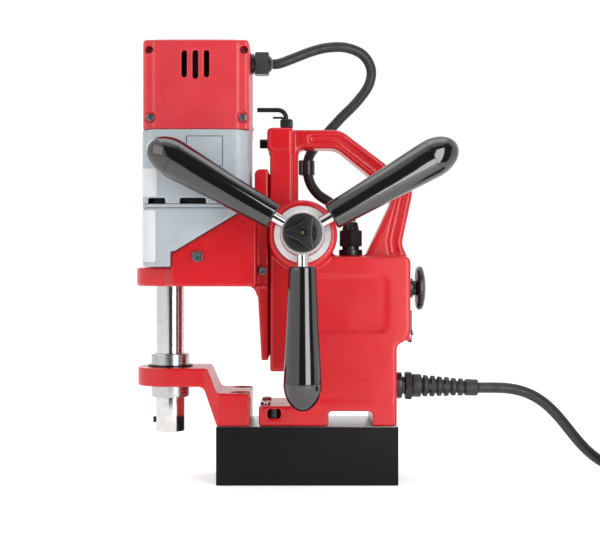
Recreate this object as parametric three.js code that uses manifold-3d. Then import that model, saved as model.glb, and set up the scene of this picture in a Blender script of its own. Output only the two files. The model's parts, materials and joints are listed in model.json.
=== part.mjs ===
// A magnetic drill press: an electromagnet carries a cast stand, and a capstan with three arms moves the
// motor unit up and down on a dovetail slide.
// Millimetres. +Z is up, +X points from the spindle towards the switch side, and the capstan faces -Y.
// The origin is the middle of the magnet's bottom face.
import * as THREE from "three";
import { mergeVertices } from "three/addons/utils/BufferGeometryUtils.js";
import Module from "manifold-3d";

const wasm = await Module();
wasm.setup();

// ---------------------------------------------------------------------------------------------------
// Driving dimensions

const GAP = 0.3; // between pieces that touch
const ROUND = 24; // sides of a large cylinder
const SMALL_ROUND = 12; // sides of a screw

const magnet = { length: 165, width: 82, height: 53, corner: 2 };
const coil = { length: 133, width: 64, poleLength: 101, poleWidth: 36, depth: 34, recess: 0.8 };

const spindleX = -128;
const hub = { x: -4.2, z: 226.5 };
const bossRadius = 31.5;
const bossFront = -45;
const bossRear = 41;

const bracket = {
  footLeft: -82, footRight: -52, footTop: 83, plateBottom: 88, plateTop: 105, noseRadius: 30,
};
const bracketBolt = { x: -61, y: 25, headTop: 82, seat: 73.5, headRadius: 8, shankRadius: 4 };
const bushing = { radius: 17.85, bore: 14.3, bottom: 76.7, top: 117.3 };

const base = { left: -44, right: 81.5, top: 76.3, halfWidth: 38 };
const baseBottom = magnet.height + GAP;
const baseScrew = { x: -38, y: 20, radius: 4.5, height: 2.2, shankRadius: 2.5 };
const column = {
  front: -34, back: -13, bottom: 102, top: 325, halfWidth: 30, blockFront: -35.8, blockBottom: 303,
};
const enclosure = { left: -14, right: 94, top: 207, halfWidth: 37, wall: 4 };
const archHalfWidth = 15;

const slide = { front: -34, back: -21.5, neck: 12, top: 306 }; // the female dovetail
const dovetailSlope = Math.tan(Math.PI / 6);
const gibThickness = 3;
const rackGroove = { back: -12.3, halfWidth: 9 };
const feed = { module: 1.5, teeth: 13, addendum: 0.9, rackAddendum: 0.7, backlash: 0.15 };
const pinionBore = 12.5;

const plate = { front: -48, back: -36.4, bottom: 112.3, top: 287, halfWidth: 30 };
const arm = { bottom: 180, top: 197.5, noseRadius: 31 };
const cheek = { halfWidth: 42, thickness: 4, left: -122.8, heel: 211.4, top: 254.3 };

const motorUnit = { left: -149.6, right: -52.4, halfWidth: 48, corner: 14, wall: 3.2 };
const gearCase = { bottom: 197.8, top: 254.1, narrow: 37.7, roof: 3 };
const motorBody = { bottom: 254.4, top: 321.2 };
const cover = { bottom: 321.5, top: 402.2, halfWidth: 47, corner: 12 };
const armatureX = -100.5;
const glandZ = 388;

const arborBottom = 44.6;
const arbor = { radius: 13.8, bore: 9.5, depth: 32, top: 76.7 };
const quillRadius = 13;

const firstStage = { module: 0.8, pinionTeeth: 12, gearTeeth: 42 };
const secondStage = { module: 1.25, pinionTeeth: 12, gearTeeth: 26 };
const gearBacklash = 0.12;

const capstan = { armPlane: 80, flangeRadius: 25.7, flangeBack: 46, front: 90, rodRadius: 5 };
const grip = { start: 28.8, end: 154.6 };
const pinionShaftRadius = 8;

const cordRadius = 5;
const leadRadius = 4.75;
const cordCoil = { x: 333, y: -55, innerRadius: 37, outerRadius: 67, height: 20 };

// ---------------------------------------------------------------------------------------------------
// Materials

const paint = (color, roughness, metalness) =>
  new THREE.MeshStandardMaterial({ color, roughness, metalness });
const redPaint = () => paint(0xc8202c, 0.35, 0.0);
const greyPlastic = () => paint(0x9ba2a8, 0.45, 0.0);
const blackPaint = () => paint(0x17181a, 0.4, 0.0);
const blackPlastic = () => paint(0x121315, 0.35, 0.0);
const rubber = () => paint(0x1a1b1c, 0.6, 0.0);
const steel = () => paint(0x9a9da0, 0.3, 1.0);
const chrome = () => paint(0xd8dadd, 0.08, 1.0);
const aluminium = () => paint(0xc9ccd0, 0.35, 1.0);
const blackSteel = () => paint(0x202224, 0.4, 0.8);
const copper = () => paint(0x9a4f2a, 0.4, 0.9);
const brass = () => paint(0xc09a4a, 0.3, 1.0);
const boardGreen = () => paint(0x1d5b3a, 0.5, 0.0);

// ---------------------------------------------------------------------------------------------------
// Solids

// A closed three.js geometry as a solid that can be cut and joined.
function toSolid(geometry) {
  const bare = geometry.clone();
  bare.deleteAttribute("normal");
  bare.deleteAttribute("uv");
  const merged = mergeVertices(bare, 1e-4);
  return new wasm.Manifold(
    new wasm.Mesh({
      numProp: 3,
      vertProperties: merged.attributes.position.array,
      triVerts: new Uint32Array(merged.index.array),
    }),
  );
}

// The solid's surface as a geometry for a mesh.
function toGeometry(solid) {
  const surface = solid.getMesh();
  const geometry = new THREE.BufferGeometry();
  geometry.setAttribute("position", new THREE.BufferAttribute(new Float32Array(surface.vertProperties), 3));
  geometry.setIndex(new THREE.BufferAttribute(new Uint32Array(surface.triVerts), 1));
  geometry.computeVertexNormals();
  return geometry;
}

function piece(name, solid, material) {
  const mesh = new THREE.Mesh(toGeometry(solid), material);
  mesh.name = name;
  return mesh;
}

const union = (...solids) => solids.reduce((whole, next) => whole.add(next));
const cut = (solid, ...tools) => tools.reduce((left, tool) => left.subtract(tool), solid);
const moved = (solid, x, y, z) => solid.translate([x, y, z]);

function block([x0, x1], [y0, y1], [z0, z1]) {
  const geometry = new THREE.BoxGeometry(x1 - x0, y1 - y0, z1 - z0);
  return toSolid(geometry.translate((x0 + x1) / 2, (y0 + y1) / 2, (z0 + z1) / 2));
}

// A rod from one place to another along an axis: centre holds the other two coordinates in X, Y, Z order.
function rod(axis, radius, [from, to], [u, v], sides = SMALL_ROUND) {
  const geometry = new THREE.CylinderGeometry(radius, radius, to - from, sides);
  const middle = (from + to) / 2;
  if (axis === "x") geometry.rotateZ(-Math.PI / 2).translate(middle, u, v);
  if (axis === "y") geometry.translate(u, middle, v);
  if (axis === "z") geometry.rotateX(Math.PI / 2).translate(u, v, middle);
  return toSolid(geometry);
}

// A profile of [radius, height] points turned about Z.
function turned(profile, sides = ROUND) {
  const points = profile.map(([r, z]) => new THREE.Vector2(r, z));
  if (THREE.ShapeUtils.area(points) < 0) points.reverse();
  const closed = points[0].x === 0 && points.at(-1).x === 0;
  if (!closed) points.push(points[0].clone());
  return toSolid(new THREE.LatheGeometry(points, sides).rotateX(Math.PI / 2));
}

const turnedAlongX = (profile, sides) => turned(profile, sides).rotate([0, 90, 0]);

// A closed outline of [x, y, corner radius] points, with each corner rounded by an arc.
function outline(corners, steps = 4) {
  const points = [];
  corners.forEach(([x, y, radius = 0], i) => {
    const corner = new THREE.Vector2(x, y);
    if (!radius) {
      points.push(corner);
      return;
    }
    const before = corners.at(i - 1);
    const after = corners[(i + 1) % corners.length];
    const back = new THREE.Vector2(before[0], before[1]).sub(corner).normalize();
    const ahead = new THREE.Vector2(after[0], after[1]).sub(corner).normalize();
    const half = Math.acos(back.dot(ahead)) / 2;
    const reach = radius / Math.tan(half);
    const middle = back.clone().add(ahead).normalize();
    const centre = corner.clone().addScaledVector(middle, radius / Math.sin(half));
    const start = corner.clone().addScaledVector(back, reach).sub(centre);
    const sweep = (Math.PI - 2 * half) * Math.sign(back.cross(ahead)) * -1;
    for (let step = 0; step <= steps; step++) {
      const turn = start.clone().rotateAround(new THREE.Vector2(), (sweep * step) / steps);
      points.push(turn.add(centre));
    }
  });
  return new THREE.Shape(points);
}

const rectangle = ([x0, x1], [y0, y1], radius = 0) =>
  outline([[x0, y0, radius], [x1, y0, radius], [x1, y1, radius], [x0, y1, radius]]);

function regularPolygon(sides, acrossFlats) {
  const radius = acrossFlats / 2 / Math.cos(Math.PI / sides);
  const corners = Array.from({ length: sides }, (_, i) => {
    const angle = ((i + 0.5) * 2 * Math.PI) / sides;
    return [radius * Math.cos(angle), radius * Math.sin(angle)];
  });
  return outline(corners);
}

// An outline in the XY plane, raised from one height to another.
function slab(shape, [z0, z1], curveSegments = 6) {
  const options = { depth: z1 - z0, bevelEnabled: false, curveSegments };
  return toSolid(new THREE.ExtrudeGeometry(shape, options).translate(0, 0, z0));
}

// An outline in the XZ plane, seen from the front and extruded along Y.
const sideSlab = (shape, [y0, y1]) => moved(slab(shape, [0, y1 - y0]).rotate([90, 0, 0]), 0, y1, 0);

// An outline in the YZ plane, extruded along X.
const endSlab = (shape, [x0, x1]) => slab(shape, [x0, x1]).rotate([90, 0, 90]);

// A round bar along a smooth curve through the points, with its corners as sharp as the points make them.
function bar(points, radius, steps, sides = 8) {
  const curve = new THREE.CatmullRomCurve3(points.map((p) => new THREE.Vector3(...p)), false, "centripetal");
  const section = new THREE.Shape();
  section.absarc(0, 0, radius, 0, 2 * Math.PI);
  const options = { steps, extrudePath: curve, curveSegments: sides / 2, bevelEnabled: false };
  return toSolid(new THREE.ExtrudeGeometry(section, options));
}

// ---------------------------------------------------------------------------------------------------
// Gears

const PRESSURE_ANGLE = (20 * Math.PI) / 180;
const involute = (angle) => Math.tan(angle) - angle;

// An involute gear's outline, with a tooth centred on the angle `phase`.
function gearOutline({ module, teeth, addendum, backlash, phase, flankSteps }) {
  const pitchRadius = (module * teeth) / 2;
  const baseRadius = pitchRadius * Math.cos(PRESSURE_ANGLE);
  const tipRadius = pitchRadius + addendum * module;
  const rootRadius = pitchRadius - 1.2 * module;
  const halfTooth = (Math.PI * module - 2 * backlash) / 4 / pitchRadius;
  const flankStart = Math.max(rootRadius, baseRadius);
  const points = [];
  const centreOfGear = new THREE.Vector2();
  const polar = (radius, angle) => {
    points.push(new THREE.Vector2(radius, 0).rotateAround(centreOfGear, angle));
  };
  const halfWidthAt = (radius) =>
    halfTooth + involute(PRESSURE_ANGLE) - involute(Math.acos(Math.min(1, baseRadius / radius)));
  for (let tooth = 0; tooth < teeth; tooth++) {
    const centre = phase + (2 * Math.PI * tooth) / teeth;
    if (rootRadius < baseRadius) polar(rootRadius, centre - halfWidthAt(flankStart));
    for (let step = 0; step <= flankSteps; step++) {
      const radius = flankStart + ((tipRadius - flankStart) * step) / flankSteps;
      polar(radius, centre - halfWidthAt(radius));
    }
    for (let step = flankSteps; step >= 0; step--) {
      const radius = flankStart + ((tipRadius - flankStart) * step) / flankSteps;
      polar(radius, centre + halfWidthAt(radius));
    }
    if (rootRadius < baseRadius) polar(rootRadius, centre + halfWidthAt(flankStart));
  }
  return new THREE.Shape(points);
}

const gear = (options, heights) =>
  slab(gearOutline({ backlash: gearBacklash, flankSteps: 1, ...options }), heights);

// The two gear stages between the motor and the spindle: the idler stands behind the line of their axes.
const firstDistance = (firstStage.module * (firstStage.pinionTeeth + firstStage.gearTeeth)) / 2;
const secondDistance = (secondStage.module * (secondStage.pinionTeeth + secondStage.gearTeeth)) / 2;
const shaftSpacing = armatureX - spindleX;
const idlerAlong = (shaftSpacing ** 2 + secondDistance ** 2 - firstDistance ** 2) / (2 * shaftSpacing);
const idler = { x: spindleX + idlerAlong, y: Math.sqrt(secondDistance ** 2 - idlerAlong ** 2) };
const armatureToIdler = Math.atan2(idler.y, idler.x - armatureX);
const idlerToSpindle = Math.atan2(-idler.y, spindleX - idler.x);

// ---------------------------------------------------------------------------------------------------
// Magnet

function magnetBody() {
  const { length, width, height, corner } = magnet;
  const body = slab(rectangle([-length / 2, length / 2], [-width / 2, width / 2], corner), [0, height]);
  const around = (size) => [-size / 2, size / 2];
  const groove = cut(
    block(around(coil.length), around(coil.width), [-1, coil.depth + coil.recess]),
    block(around(coil.poleLength), around(coil.poleWidth), [-2, height]),
  );
  const holes = [-1, 1].flatMap((side) => [
    rod("z", bracketBolt.shankRadius + GAP, [38, height + 1], [bracketBolt.x, side * bracketBolt.y]),
    rod("z", baseScrew.shankRadius + GAP, [38, height + 1], [baseScrew.x, side * baseScrew.y]),
  ]);
  return piece("magnet_body", cut(body, groove, ...holes), blackPaint());
}

function magnetCoil() {
  const half = (size) => size / 2 - GAP;
  const outer = rectangle([-half(coil.length), half(coil.length)], [-half(coil.width), half(coil.width)], 6);
  const hole = { x: coil.poleLength / 2 + GAP, y: coil.poleWidth / 2 + GAP };
  outer.holes.push(rectangle([-hole.x, hole.x], [-hole.y, hole.y]));
  return piece("magnet_coil", slab(outer, [coil.recess, coil.depth + coil.recess - GAP]), copper());
}

// ---------------------------------------------------------------------------------------------------
// Lower bracket with the spindle guide

function lowerBracket() {
  const nose = spindleX - bracket.noseRadius;
  const side = outline([
    [nose - 1, bracket.plateBottom],
    [-95, bracket.plateBottom, 4],
    [bracket.footLeft, baseBottom],
    [bracket.footRight, baseBottom],
    [bracket.footRight, bracket.footTop],
    [bracket.footLeft, bracket.footTop, 3],
    [-91, bracket.plateTop, 3],
    [nose - 1, bracket.plateTop],
  ]);
  const plan = outline([
    [nose, -bracket.noseRadius, bracket.noseRadius - 0.1],
    [-93, -bracket.noseRadius, 6],
    [-81, -base.halfWidth, 4],
    [-50, -base.halfWidth],
    [-50, base.halfWidth],
    [-81, base.halfWidth, 4],
    [-93, bracket.noseRadius, 6],
    [nose, bracket.noseRadius, bracket.noseRadius - 0.1],
  ], 8);
  const whole = sideSlab(side, [-base.halfWidth, base.halfWidth]).intersect(slab(plan, [50, 110]));
  const eye = rod("z", bushing.radius + GAP, [80, 110], [spindleX, 0], ROUND);
  const boltHoles = [-bracketBolt.y, bracketBolt.y].flatMap((y) => [
    rod("z", bracketBolt.headRadius + GAP * 2, [bracketBolt.seat - GAP, 90], [bracketBolt.x, y]),
    rod("z", bracketBolt.shankRadius + GAP, [50, 90], [bracketBolt.x, y]),
  ]);
  return piece("lower_bracket", cut(whole, eye, ...boltHoles), redPaint());
}

// A socket-head screw along +Z: its head's bottom is at z = 0.
function socketScrew(name, { headRadius, headHeight, shankRadius, shankLength, socket }, material) {
  const shape = union(
    rod("z", headRadius, [0, headHeight], [0, 0], 20),
    rod("z", shankRadius, [-shankLength, 1], [0, 0], 12),
  );
  const key = slab(regularPolygon(6, socket), [headHeight * 0.45, headHeight + 1]);
  return piece(name, cut(shape, key), material);
}

function bracketBolts() {
  const bolt = socketScrew("bracket_bolt_front", {
    headRadius: bracketBolt.headRadius,
    headHeight: bracketBolt.headTop - bracketBolt.seat,
    shankRadius: bracketBolt.shankRadius,
    shankLength: 32,
    socket: 8,
  }, blackSteel());
  bolt.position.set(bracketBolt.x, -bracketBolt.y, bracketBolt.seat);
  return bolt;
}

function guideBushing() {
  const { radius, bore, bottom, top } = bushing;
  const tube = turned([[bore, bottom], [radius, bottom], [radius, top], [bore, top]]);
  return piece("guide_bushing", moved(tube, spindleX, 0, 0), steel());
}

function retainingRing() {
  const inner = bushing.radius + GAP;
  const low = bracket.plateTop + GAP;
  const ring = turned([[inner, low], [20.9, low], [20.9, low + 1.5], [inner, low + 1.5]]);
  return piece("retaining_ring", moved(ring, spindleX, 0, 0), blackSteel());
}

// ---------------------------------------------------------------------------------------------------
// Stand casting: base flange, column with the female dovetail, electronics enclosure and D-shaped handle

// The dovetail's cross-section in the XY plane, wider towards the back: `neck` is half its width at the
// front, and each flank moves out by its own spare.
function dovetail(front, back, neck, spareFront, spareRear) {
  const widen = (back - front) * dovetailSlope;
  return outline([
    [front, -neck - spareFront],
    [back, -neck - widen - spareFront],
    [back, neck + widen + spareRear],
    [front, neck + spareRear],
  ]);
}

function archOutline() {
  const arch = outline([
    [-20, 150],
    [94, 150],
    [94, 205],
    [88, 219, 12],
    [99.5, 273, 16],
    [31, 325, 22],
    [-20, 325],
  ], 5);
  const window = outline([
    [-8, 307.5, 5],
    [27, 307.5, 18],
    [80.5, 264, 13],
    [54.5, 208.6, 4],
    [24, 208.6, 3],
    [24, 235],
    [-8, 255],
  ], 5);
  arch.holes.push(window);
  return arch;
}

function standOutside() {
  const { left, right, top, halfWidth } = enclosure;
  const housing = outline([
    [left, base.top - 1],
    [base.right, base.top - 1],
    [base.right, 129, 6],
    [right, 129, 11],
    [right, top, 6],
    [left, top],
  ]);
  return union(
    slab(rectangle([base.left, base.right], [-base.halfWidth, base.halfWidth], 3), [baseBottom, base.top]),
    sideSlab(housing, [-halfWidth, halfWidth]),
    block([column.front, column.back], [-column.halfWidth, column.halfWidth], [column.bottom, column.top]),
    block(
      [column.blockFront, column.back],
      [-column.halfWidth, column.halfWidth],
      [column.blockBottom, column.top],
    ),
    sideSlab(archOutline(), [-archHalfWidth, archHalfWidth]),
    rod("y", bossRadius, [bossFront, bossRear], [hub.x, hub.z], 32),
  );
}

function slideCuts() {
  const below = column.bottom - 1;
  const mouth = slide.front - 5;
  const neck = slide.neck + (mouth - slide.front) * dovetailSlope;
  return [
    slab(dovetail(mouth, slide.back, neck, GAP, gibThickness + 2 * GAP), [below, slide.top]),
    block(
      [slide.back - 1, rackGroove.back],
      [-rackGroove.halfWidth, rackGroove.halfWidth],
      [below, slide.top],
    ),
    rod("y", pinionBore, [bossFront - 1, bossRear + 1], [hub.x, hub.z], ROUND),
  ];
}

// The hollow for the electronics, open on the switch side.
function enclosureCuts() {
  const { right, halfWidth, wall } = enclosure;
  const inside = outline([
    [-4, 84],
    [77.5, 84],
    [77.5, 124],
    [89, 130],
    [right + 2, 130],
    [right + 2, 201],
    [-4, 201],
  ]);
  const frontPanel = rectangle([-10, 73], [138, 190], 6);
  return [
    sideSlab(inside, [-halfWidth + wall, halfWidth - wall]),
    sideSlab(frontPanel, [-halfWidth - 1, -halfWidth + 1]),
    rod("x", 7.3, [70, 90], [0, mainsGland.z], 20),
    rod("z", 7.3, [195, 220], [topGland.x, 0], 20),
  ];
}

function baseCuts() {
  const strapWindow = rectangle([19.4, 59.4], [baseBottom - 5, 66.7], 2);
  const pocket = rectangle([-36, -24], [60.6, 69.7], 2);
  return [
    sideSlab(strapWindow, [-50, 50]),
    sideSlab(pocket, [-base.halfWidth - 1, -base.halfWidth + 14]),
    ...[-1, 1].map((side) =>
      rod("z", baseScrew.shankRadius + GAP, [50, 90], [baseScrew.x, side * baseScrew.y]),
    ),
  ];
}

function fastenerCuts() {
  return [
    ...keys.map(({ y, radius }) => rod("z", radius + GAP * 2, [keyHoleBottom - 2, 330], [keyLegX, y], 10)),
    rod("x", 2.5 + GAP, [column.blockFront - 5, -24], [0, stopBoltZ]),
    rod("y", 2.5 + GAP, [18, column.halfWidth + 1], [gibScrew.x, gibScrew.z]),
  ];
}

function standCasting() {
  const casting = cut(standOutside(), ...slideCuts(), ...enclosureCuts(), ...baseCuts(), ...fastenerCuts());
  return piece("stand_casting", casting, redPaint());
}

function standBolt() {
  const screw = socketScrew("stand_bolt_front", {
    headRadius: baseScrew.radius,
    headHeight: baseScrew.height,
    shankRadius: baseScrew.shankRadius,
    shankLength: 34,
    socket: 4,
  }, steel());
  screw.position.set(baseScrew.x, -baseScrew.y, base.top + GAP);
  return screw;
}

// ---------------------------------------------------------------------------------------------------
// Slide adjustment and stop

const gibScrew = { x: -28, z: 280 };
const stopBoltZ = 313.2;

// The gib fills the wider side of the female dovetail, behind the male one.
function gibStrip() {
  const front = slide.front + GAP;
  const back = slide.back - GAP;
  const near = (x) => slide.neck + (x - slide.front) * dovetailSlope + GAP;
  const strip = outline([
    [front, near(front)],
    [back, near(back)],
    [back, near(back) + gibThickness],
    [front, near(front) + gibThickness],
  ]);
  return piece("gib_strip", slab(strip, [column.bottom + 2, slide.top - 2]), brass());
}

function gibScrewUpper() {
  const screw = union(
    rod("y", 2.5, [20.6, column.halfWidth + 1], [0, 0], 12),
    rod("y", 4, [column.halfWidth + GAP, column.halfWidth + 2.8], [0, 0], 6),
  );
  const mesh = piece("gib_screw_upper", screw, blackSteel());
  mesh.position.set(gibScrew.x, 0, gibScrew.z);
  return mesh;
}

function travelStopBolt() {
  const bolt = socketScrew("travel_stop_bolt", {
    headRadius: 4.3,
    headHeight: 8,
    shankRadius: 2.5,
    shankLength: 11,
    socket: 4,
  }, blackSteel());
  bolt.position.set(column.blockFront - GAP, 0, stopBoltZ);
  bolt.rotation.y = -Math.PI / 2;
  return bolt;
}

// ---------------------------------------------------------------------------------------------------
// Hex keys in their holder on top of the column

const keyLegX = -19;
const keyHoleBottom = 286;
const keys = [
  { name: "hex_key_large", y: -22, radius: 2.1, top: 342, tip: -45.5, bend: 4 },
  { name: "hex_key_small", y: -15.5, radius: 0.9, top: 335.8, tip: -31.5, bend: 2 },
];

function keyHolder() {
  const holder = block([-24.7, -13], [-27, -12], [column.top + GAP, 333]);
  const holes = keys.map(({ y, radius }) => rod("z", radius + GAP * 2, [320, 340], [keyLegX, y], 10));
  return piece("key_holder", cut(holder, ...holes), blackPlastic());
}

// An L-shaped key: the short leg points towards the motor, the long one stands in the column.
function hexKey({ name, y, radius, top, tip, bend }) {
  const arc = [0, 1, 2, 3].map((step) => {
    const angle = (step * Math.PI) / 6;
    return [keyLegX - bend + bend * Math.sin(angle), 0, top - bend + bend * Math.cos(angle)];
  });
  const route = [[tip, 0, top], ...arc, [keyLegX, 0, keyHoleBottom]];
  const legs = route.slice(1).map((point, i) => hexBar(route[i], point, radius));
  const mesh = piece(name, union(...legs), blackSteel());
  mesh.position.y = y;
  return mesh;
}

// A straight bar with six sides between two points of the XZ plane, a little longer than their distance.
function hexBar([x0, , z0], [x1, , z1], radius) {
  const length = Math.hypot(x1 - x0, z1 - z0);
  const geometry = new THREE.CylinderGeometry(radius, radius, length + radius * 0.5, 6);
  geometry.rotateX(Math.PI / 2).rotateY(Math.atan2(x1 - x0, z1 - z0));
  return toSolid(geometry.translate((x0 + x1) / 2, 0, (z0 + z1) / 2));
}

// ---------------------------------------------------------------------------------------------------
// Control side

const panel = { left: 90.5, right: 93.6, bottom: 130.3, top: 200.7, halfWidth: 32.7 };
const stopButton = {
  z: 178, collar: 9.15, bore: 7.3, collarEnd: 99, headStart: 102.5, headEnd: 110.8, head: 20.5,
};
const rocker = { z: 142.5, halfWidth: 12.5, halfHeight: 14.8, pivotX: 92 };

function controlPanel() {
  const { left, right, bottom, top, halfWidth } = panel;
  const plateSolid = block([left, right], [-halfWidth, halfWidth], [bottom, top]);
  const buttonHole = rod("x", stopButton.collar + GAP, [80, 100], [0, stopButton.z], 24);
  const rockerHole = block([80, 100], [-10.3, 10.3], [rocker.z - 11.3, rocker.z + 11.3]);
  return piece("control_panel", cut(plateSolid, buttonHole, rockerHole), redPaint());
}

function stopButtonCollar() {
  const { collar, bore, collarEnd, z } = stopButton;
  const profile = [
    [bore, 84], [12, 84], [12, 88], [collar, 88], [collar, panel.right + GAP], [11.5, panel.right + GAP],
    [11.5, panel.right + 2], [collar, panel.right + 2], [collar, collarEnd], [bore, collarEnd],
  ];
  return piece("stop_button_collar", moved(turnedAlongX(profile, 16), 0, 0, z), blackPlastic());
}

function stopButtonHead() {
  const { bore, headStart, headEnd, head, z } = stopButton;
  const stem = bore - GAP;
  const dome = [0, 1, 2, 3, 4].map((step) => {
    const angle = (step * Math.PI) / 8;
    return [head * Math.cos(angle), headStart + 2 + (headEnd - headStart - 2) * Math.sin(angle)];
  });
  dome[4][0] = 0;
  const profile = [[0, 86], [stem, 86], [stem, headStart], [head - 1, headStart], ...dome];
  return piece("stop_button_head", moved(turnedAlongX(profile, 20), 0, 0, z), blackPlastic());
}

function rockerFrame() {
  const { z, halfWidth, halfHeight } = rocker;
  const body = union(
    block([panel.right + 0.8, 97.2], [-halfWidth, halfWidth], [z - halfHeight, z + halfHeight]),
    block([80, panel.right + 2], [-10, 10], [z - 11, z + 11]),
  );
  const pocket = block([83, 99], [-8.3, 8.3], [z - 10, z + 10]);
  return piece("rocker_frame", cut(body, pocket), blackPlastic());
}

// The paddle's face is a shallow V about the pivot. At rest its lower end stands out.
function rockerPaddle() {
  const face = outline([[-5, -7], [6.4, -9.4, 1], [4.9, 0], [6.4, 9.4, 1], [-5, 7]]);
  const mesh = piece("rocker_paddle", sideSlab(face, [-8, 8]), blackPlastic());
  mesh.position.set(rocker.pivotX, 0, rocker.z);
  mesh.rotation.y = (-8 * Math.PI) / 180;
  return mesh;
}

function circuitBoard() {
  const board = union(
    block([4, 74], [18, 19.6], [92, 192]),
    block([10, 28], [8, 18.5], [160, 186]),
    block([36, 60], [4, 18.5], [100, 122]),
    rod("y", 8, [-4, 18.5], [50, 150], 16),
    rod("y", 5, [6, 18.5], [22, 130], 12),
  );
  return piece("circuit_board", board, boardGreen());
}

// ---------------------------------------------------------------------------------------------------
// Cable glands, cable clip and leads

const mainsGland = { z: 86.8, flange: 81.8, nutEnd: 98 };
const topGland = { x: 41, flange: 208.7, nutStart: 217, nutEnd: 232, dome: 240 };
const boot = { start: mainsGland.nutEnd + 0.8, length: 61.5, droop: 2 };

const hexNut = (acrossFlats, [from, to]) => slab(regularPolygon(6, acrossFlats), [from, to]);

// A gland standing on z = 0 with its lead leaving along +Z: a seat, a neck, a hexagon nut and a domed seal.
function gland(name, { seatRadius, seatHeight, neckRadius, nut, acrossFlats, domeRadius, end, tail }) {
  const body = union(
    rod("z", seatRadius, [0, seatHeight], [0, 0], 16),
    rod("z", neckRadius, [-tail, nut[1]], [0, 0], 12),
    hexNut(acrossFlats, nut),
    rod("z", domeRadius, [nut[0], end], [0, 0], 16),
  );
  return piece(name, cut(body, rod("z", leadRadius, [-tail - 1, end - 4], [0, 0])), blackPlastic());
}

function mainsGlandPiece() {
  const mesh = gland("mains_gland", {
    seatRadius: 12.4, seatHeight: 6.9, neckRadius: 7, nut: [9.9, 16.2], acrossFlats: 24.8,
    domeRadius: 9, end: 16.2, tail: 8,
  });
  mesh.position.set(mainsGland.flange, 0, mainsGland.z);
  mesh.rotation.y = Math.PI / 2;
  return mesh;
}

function topGlandPiece() {
  const { x, flange, nutStart, nutEnd, dome } = topGland;
  const mesh = gland("top_gland", {
    seatRadius: 11, seatHeight: 5.3, neckRadius: 7, nut: [nutStart - flange, nutEnd - flange],
    acrossFlats: 20.5, domeRadius: 7.5, end: dome - flange, tail: 10,
  });
  mesh.position.set(x, 0, flange);
  return mesh;
}

function motorGlandPiece() {
  const mesh = gland("motor_gland", {
    seatRadius: 9, seatHeight: 2.8, neckRadius: 6.5, nut: [3.2, 18], acrossFlats: 21.5,
    domeRadius: 7, end: 19.2, tail: 7,
  });
  mesh.position.set(motorUnit.right + GAP, 0, glandZ);
  mesh.rotation.y = Math.PI / 2;
  return mesh;
}

function strainReliefBoot() {
  const ribs = 6;
  const ribPitch = 6.6;
  const ribStart = 10.5;
  const profile = [[0, 0], [10.7, 0], [10.7, ribStart - 2.5], [7.9, ribStart - 2]];
  for (let rib = 0; rib < ribs; rib++) {
    const from = ribStart + rib * ribPitch;
    const outer = 10.3 - rib * 0.42;
    const inner = outer - 2.4;
    profile.push([outer, from], [outer, from + 3.6], [inner, from + 4], [inner, from + ribPitch - 0.4]);
  }
  profile.push([7.75, ribStart + ribs * ribPitch], [7.75, boot.length], [0, boot.length]);
  const mesh = piece("strain_relief_boot", turnedAlongX(profile, 10), rubber());
  mesh.position.set(boot.start, 0, mainsGland.z);
  mesh.rotation.y = (boot.droop * Math.PI) / 180;
  return mesh;
}

// The lead from the motor to the enclosure: over the handle, down behind it, and through the clip.
const leadRoute = [
  [-32.5, 0, 388], [-26.9, 0, 388.3], [-14.9, 1, 392.7], [4, 4, 400.5], [18.6, 6, 404.5], [37, 9, 405.2],
  [53, 12, 399], [60.9, 15, 386.7], [59.5, 18, 372.4], [48.8, 21.5, 356.8], [31, 24.5, 338.9],
  [13.4, 25, 319], [3, 21, 305], [0.4, 16, 292], [3.4, 12, 277], [10.6, 9, 266.5], [18.9, 6.5, 260.6], [30, 3.5, 253],
  [37.6, 1, 248.6], [41, 0, 244], [41, 0, 240.6],
];

const leadSteps = 34;

function interconnectCable() {
  return piece("interconnect_cable", bar(leadRoute, leadRadius, leadSteps), rubber());
}

// A P-clip round the lead, with its lug on the inner face of the handle's left side.
function cableClip() {
  const at = { x: 0.4, y: 16 };
  const low = 285;
  const high = 299;
  const ring = union(
    rod("z", 7.2, [low, high], [at.x, at.y], 20),
    block([-7.7, at.x], [9.5, 14.5], [low, high]),
  );
  return piece("cable_clip", cut(ring, bar(leadRoute, leadRadius + 2 * GAP, leadSteps)), blackPlastic());
}

// The mains lead: it droops from the boot to the floor and runs into the coil.
const cordRoute = [
  [160.8, 0, 84.6], [172, 0, 84.6], [186, 0, 84.2], [200, 0.3, 81.8], [213, 0.8, 76.6], [225, 1.5, 68.4],
  [236, 2.4, 57.6], [246, 3.6, 45.6], [256, 5.2, 33.6], [267, 7.4, 22.6], [280, 10, 13.4], [295, 13, 7.6],
  [312, 15.8, 5.4], [326, 17.3, 5.3],
];

function mainsCord() {
  return piece("mains_cord", bar(cordRoute, cordRadius, 24), rubber());
}

function cordCoilRing() {
  const { x, y, innerRadius, outerRadius, height } = cordCoil;
  const profile = [
    [innerRadius, 3], [innerRadius + 3, 0.05], [outerRadius - 3, 0.05], [outerRadius, 3],
    [outerRadius, height - 3], [outerRadius - 3, height], [innerRadius + 3, height], [innerRadius, height - 3],
  ];
  return piece("cord_coil", moved(turned(profile), x, y, 0), rubber());
}

// A moulded three-pin plug, built along +X with its contacts ahead of x = 0.
const plugSize = { length: 44, halfWidth: 14, height: 27 };

function mainsPlug() {
  const { length, halfWidth, height } = plugSize;
  const plan = outline([
    [-length, -7, 4], [-26, -9, 6], [-12, -halfWidth, 5], [0, -halfWidth, 2],
    [0, halfWidth, 2], [-12, halfWidth, 5], [-26, 9, 6], [-length, 7, 4],
  ]);
  return piece("mains_plug", slab(plan, [0, height]), rubber());
}

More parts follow.
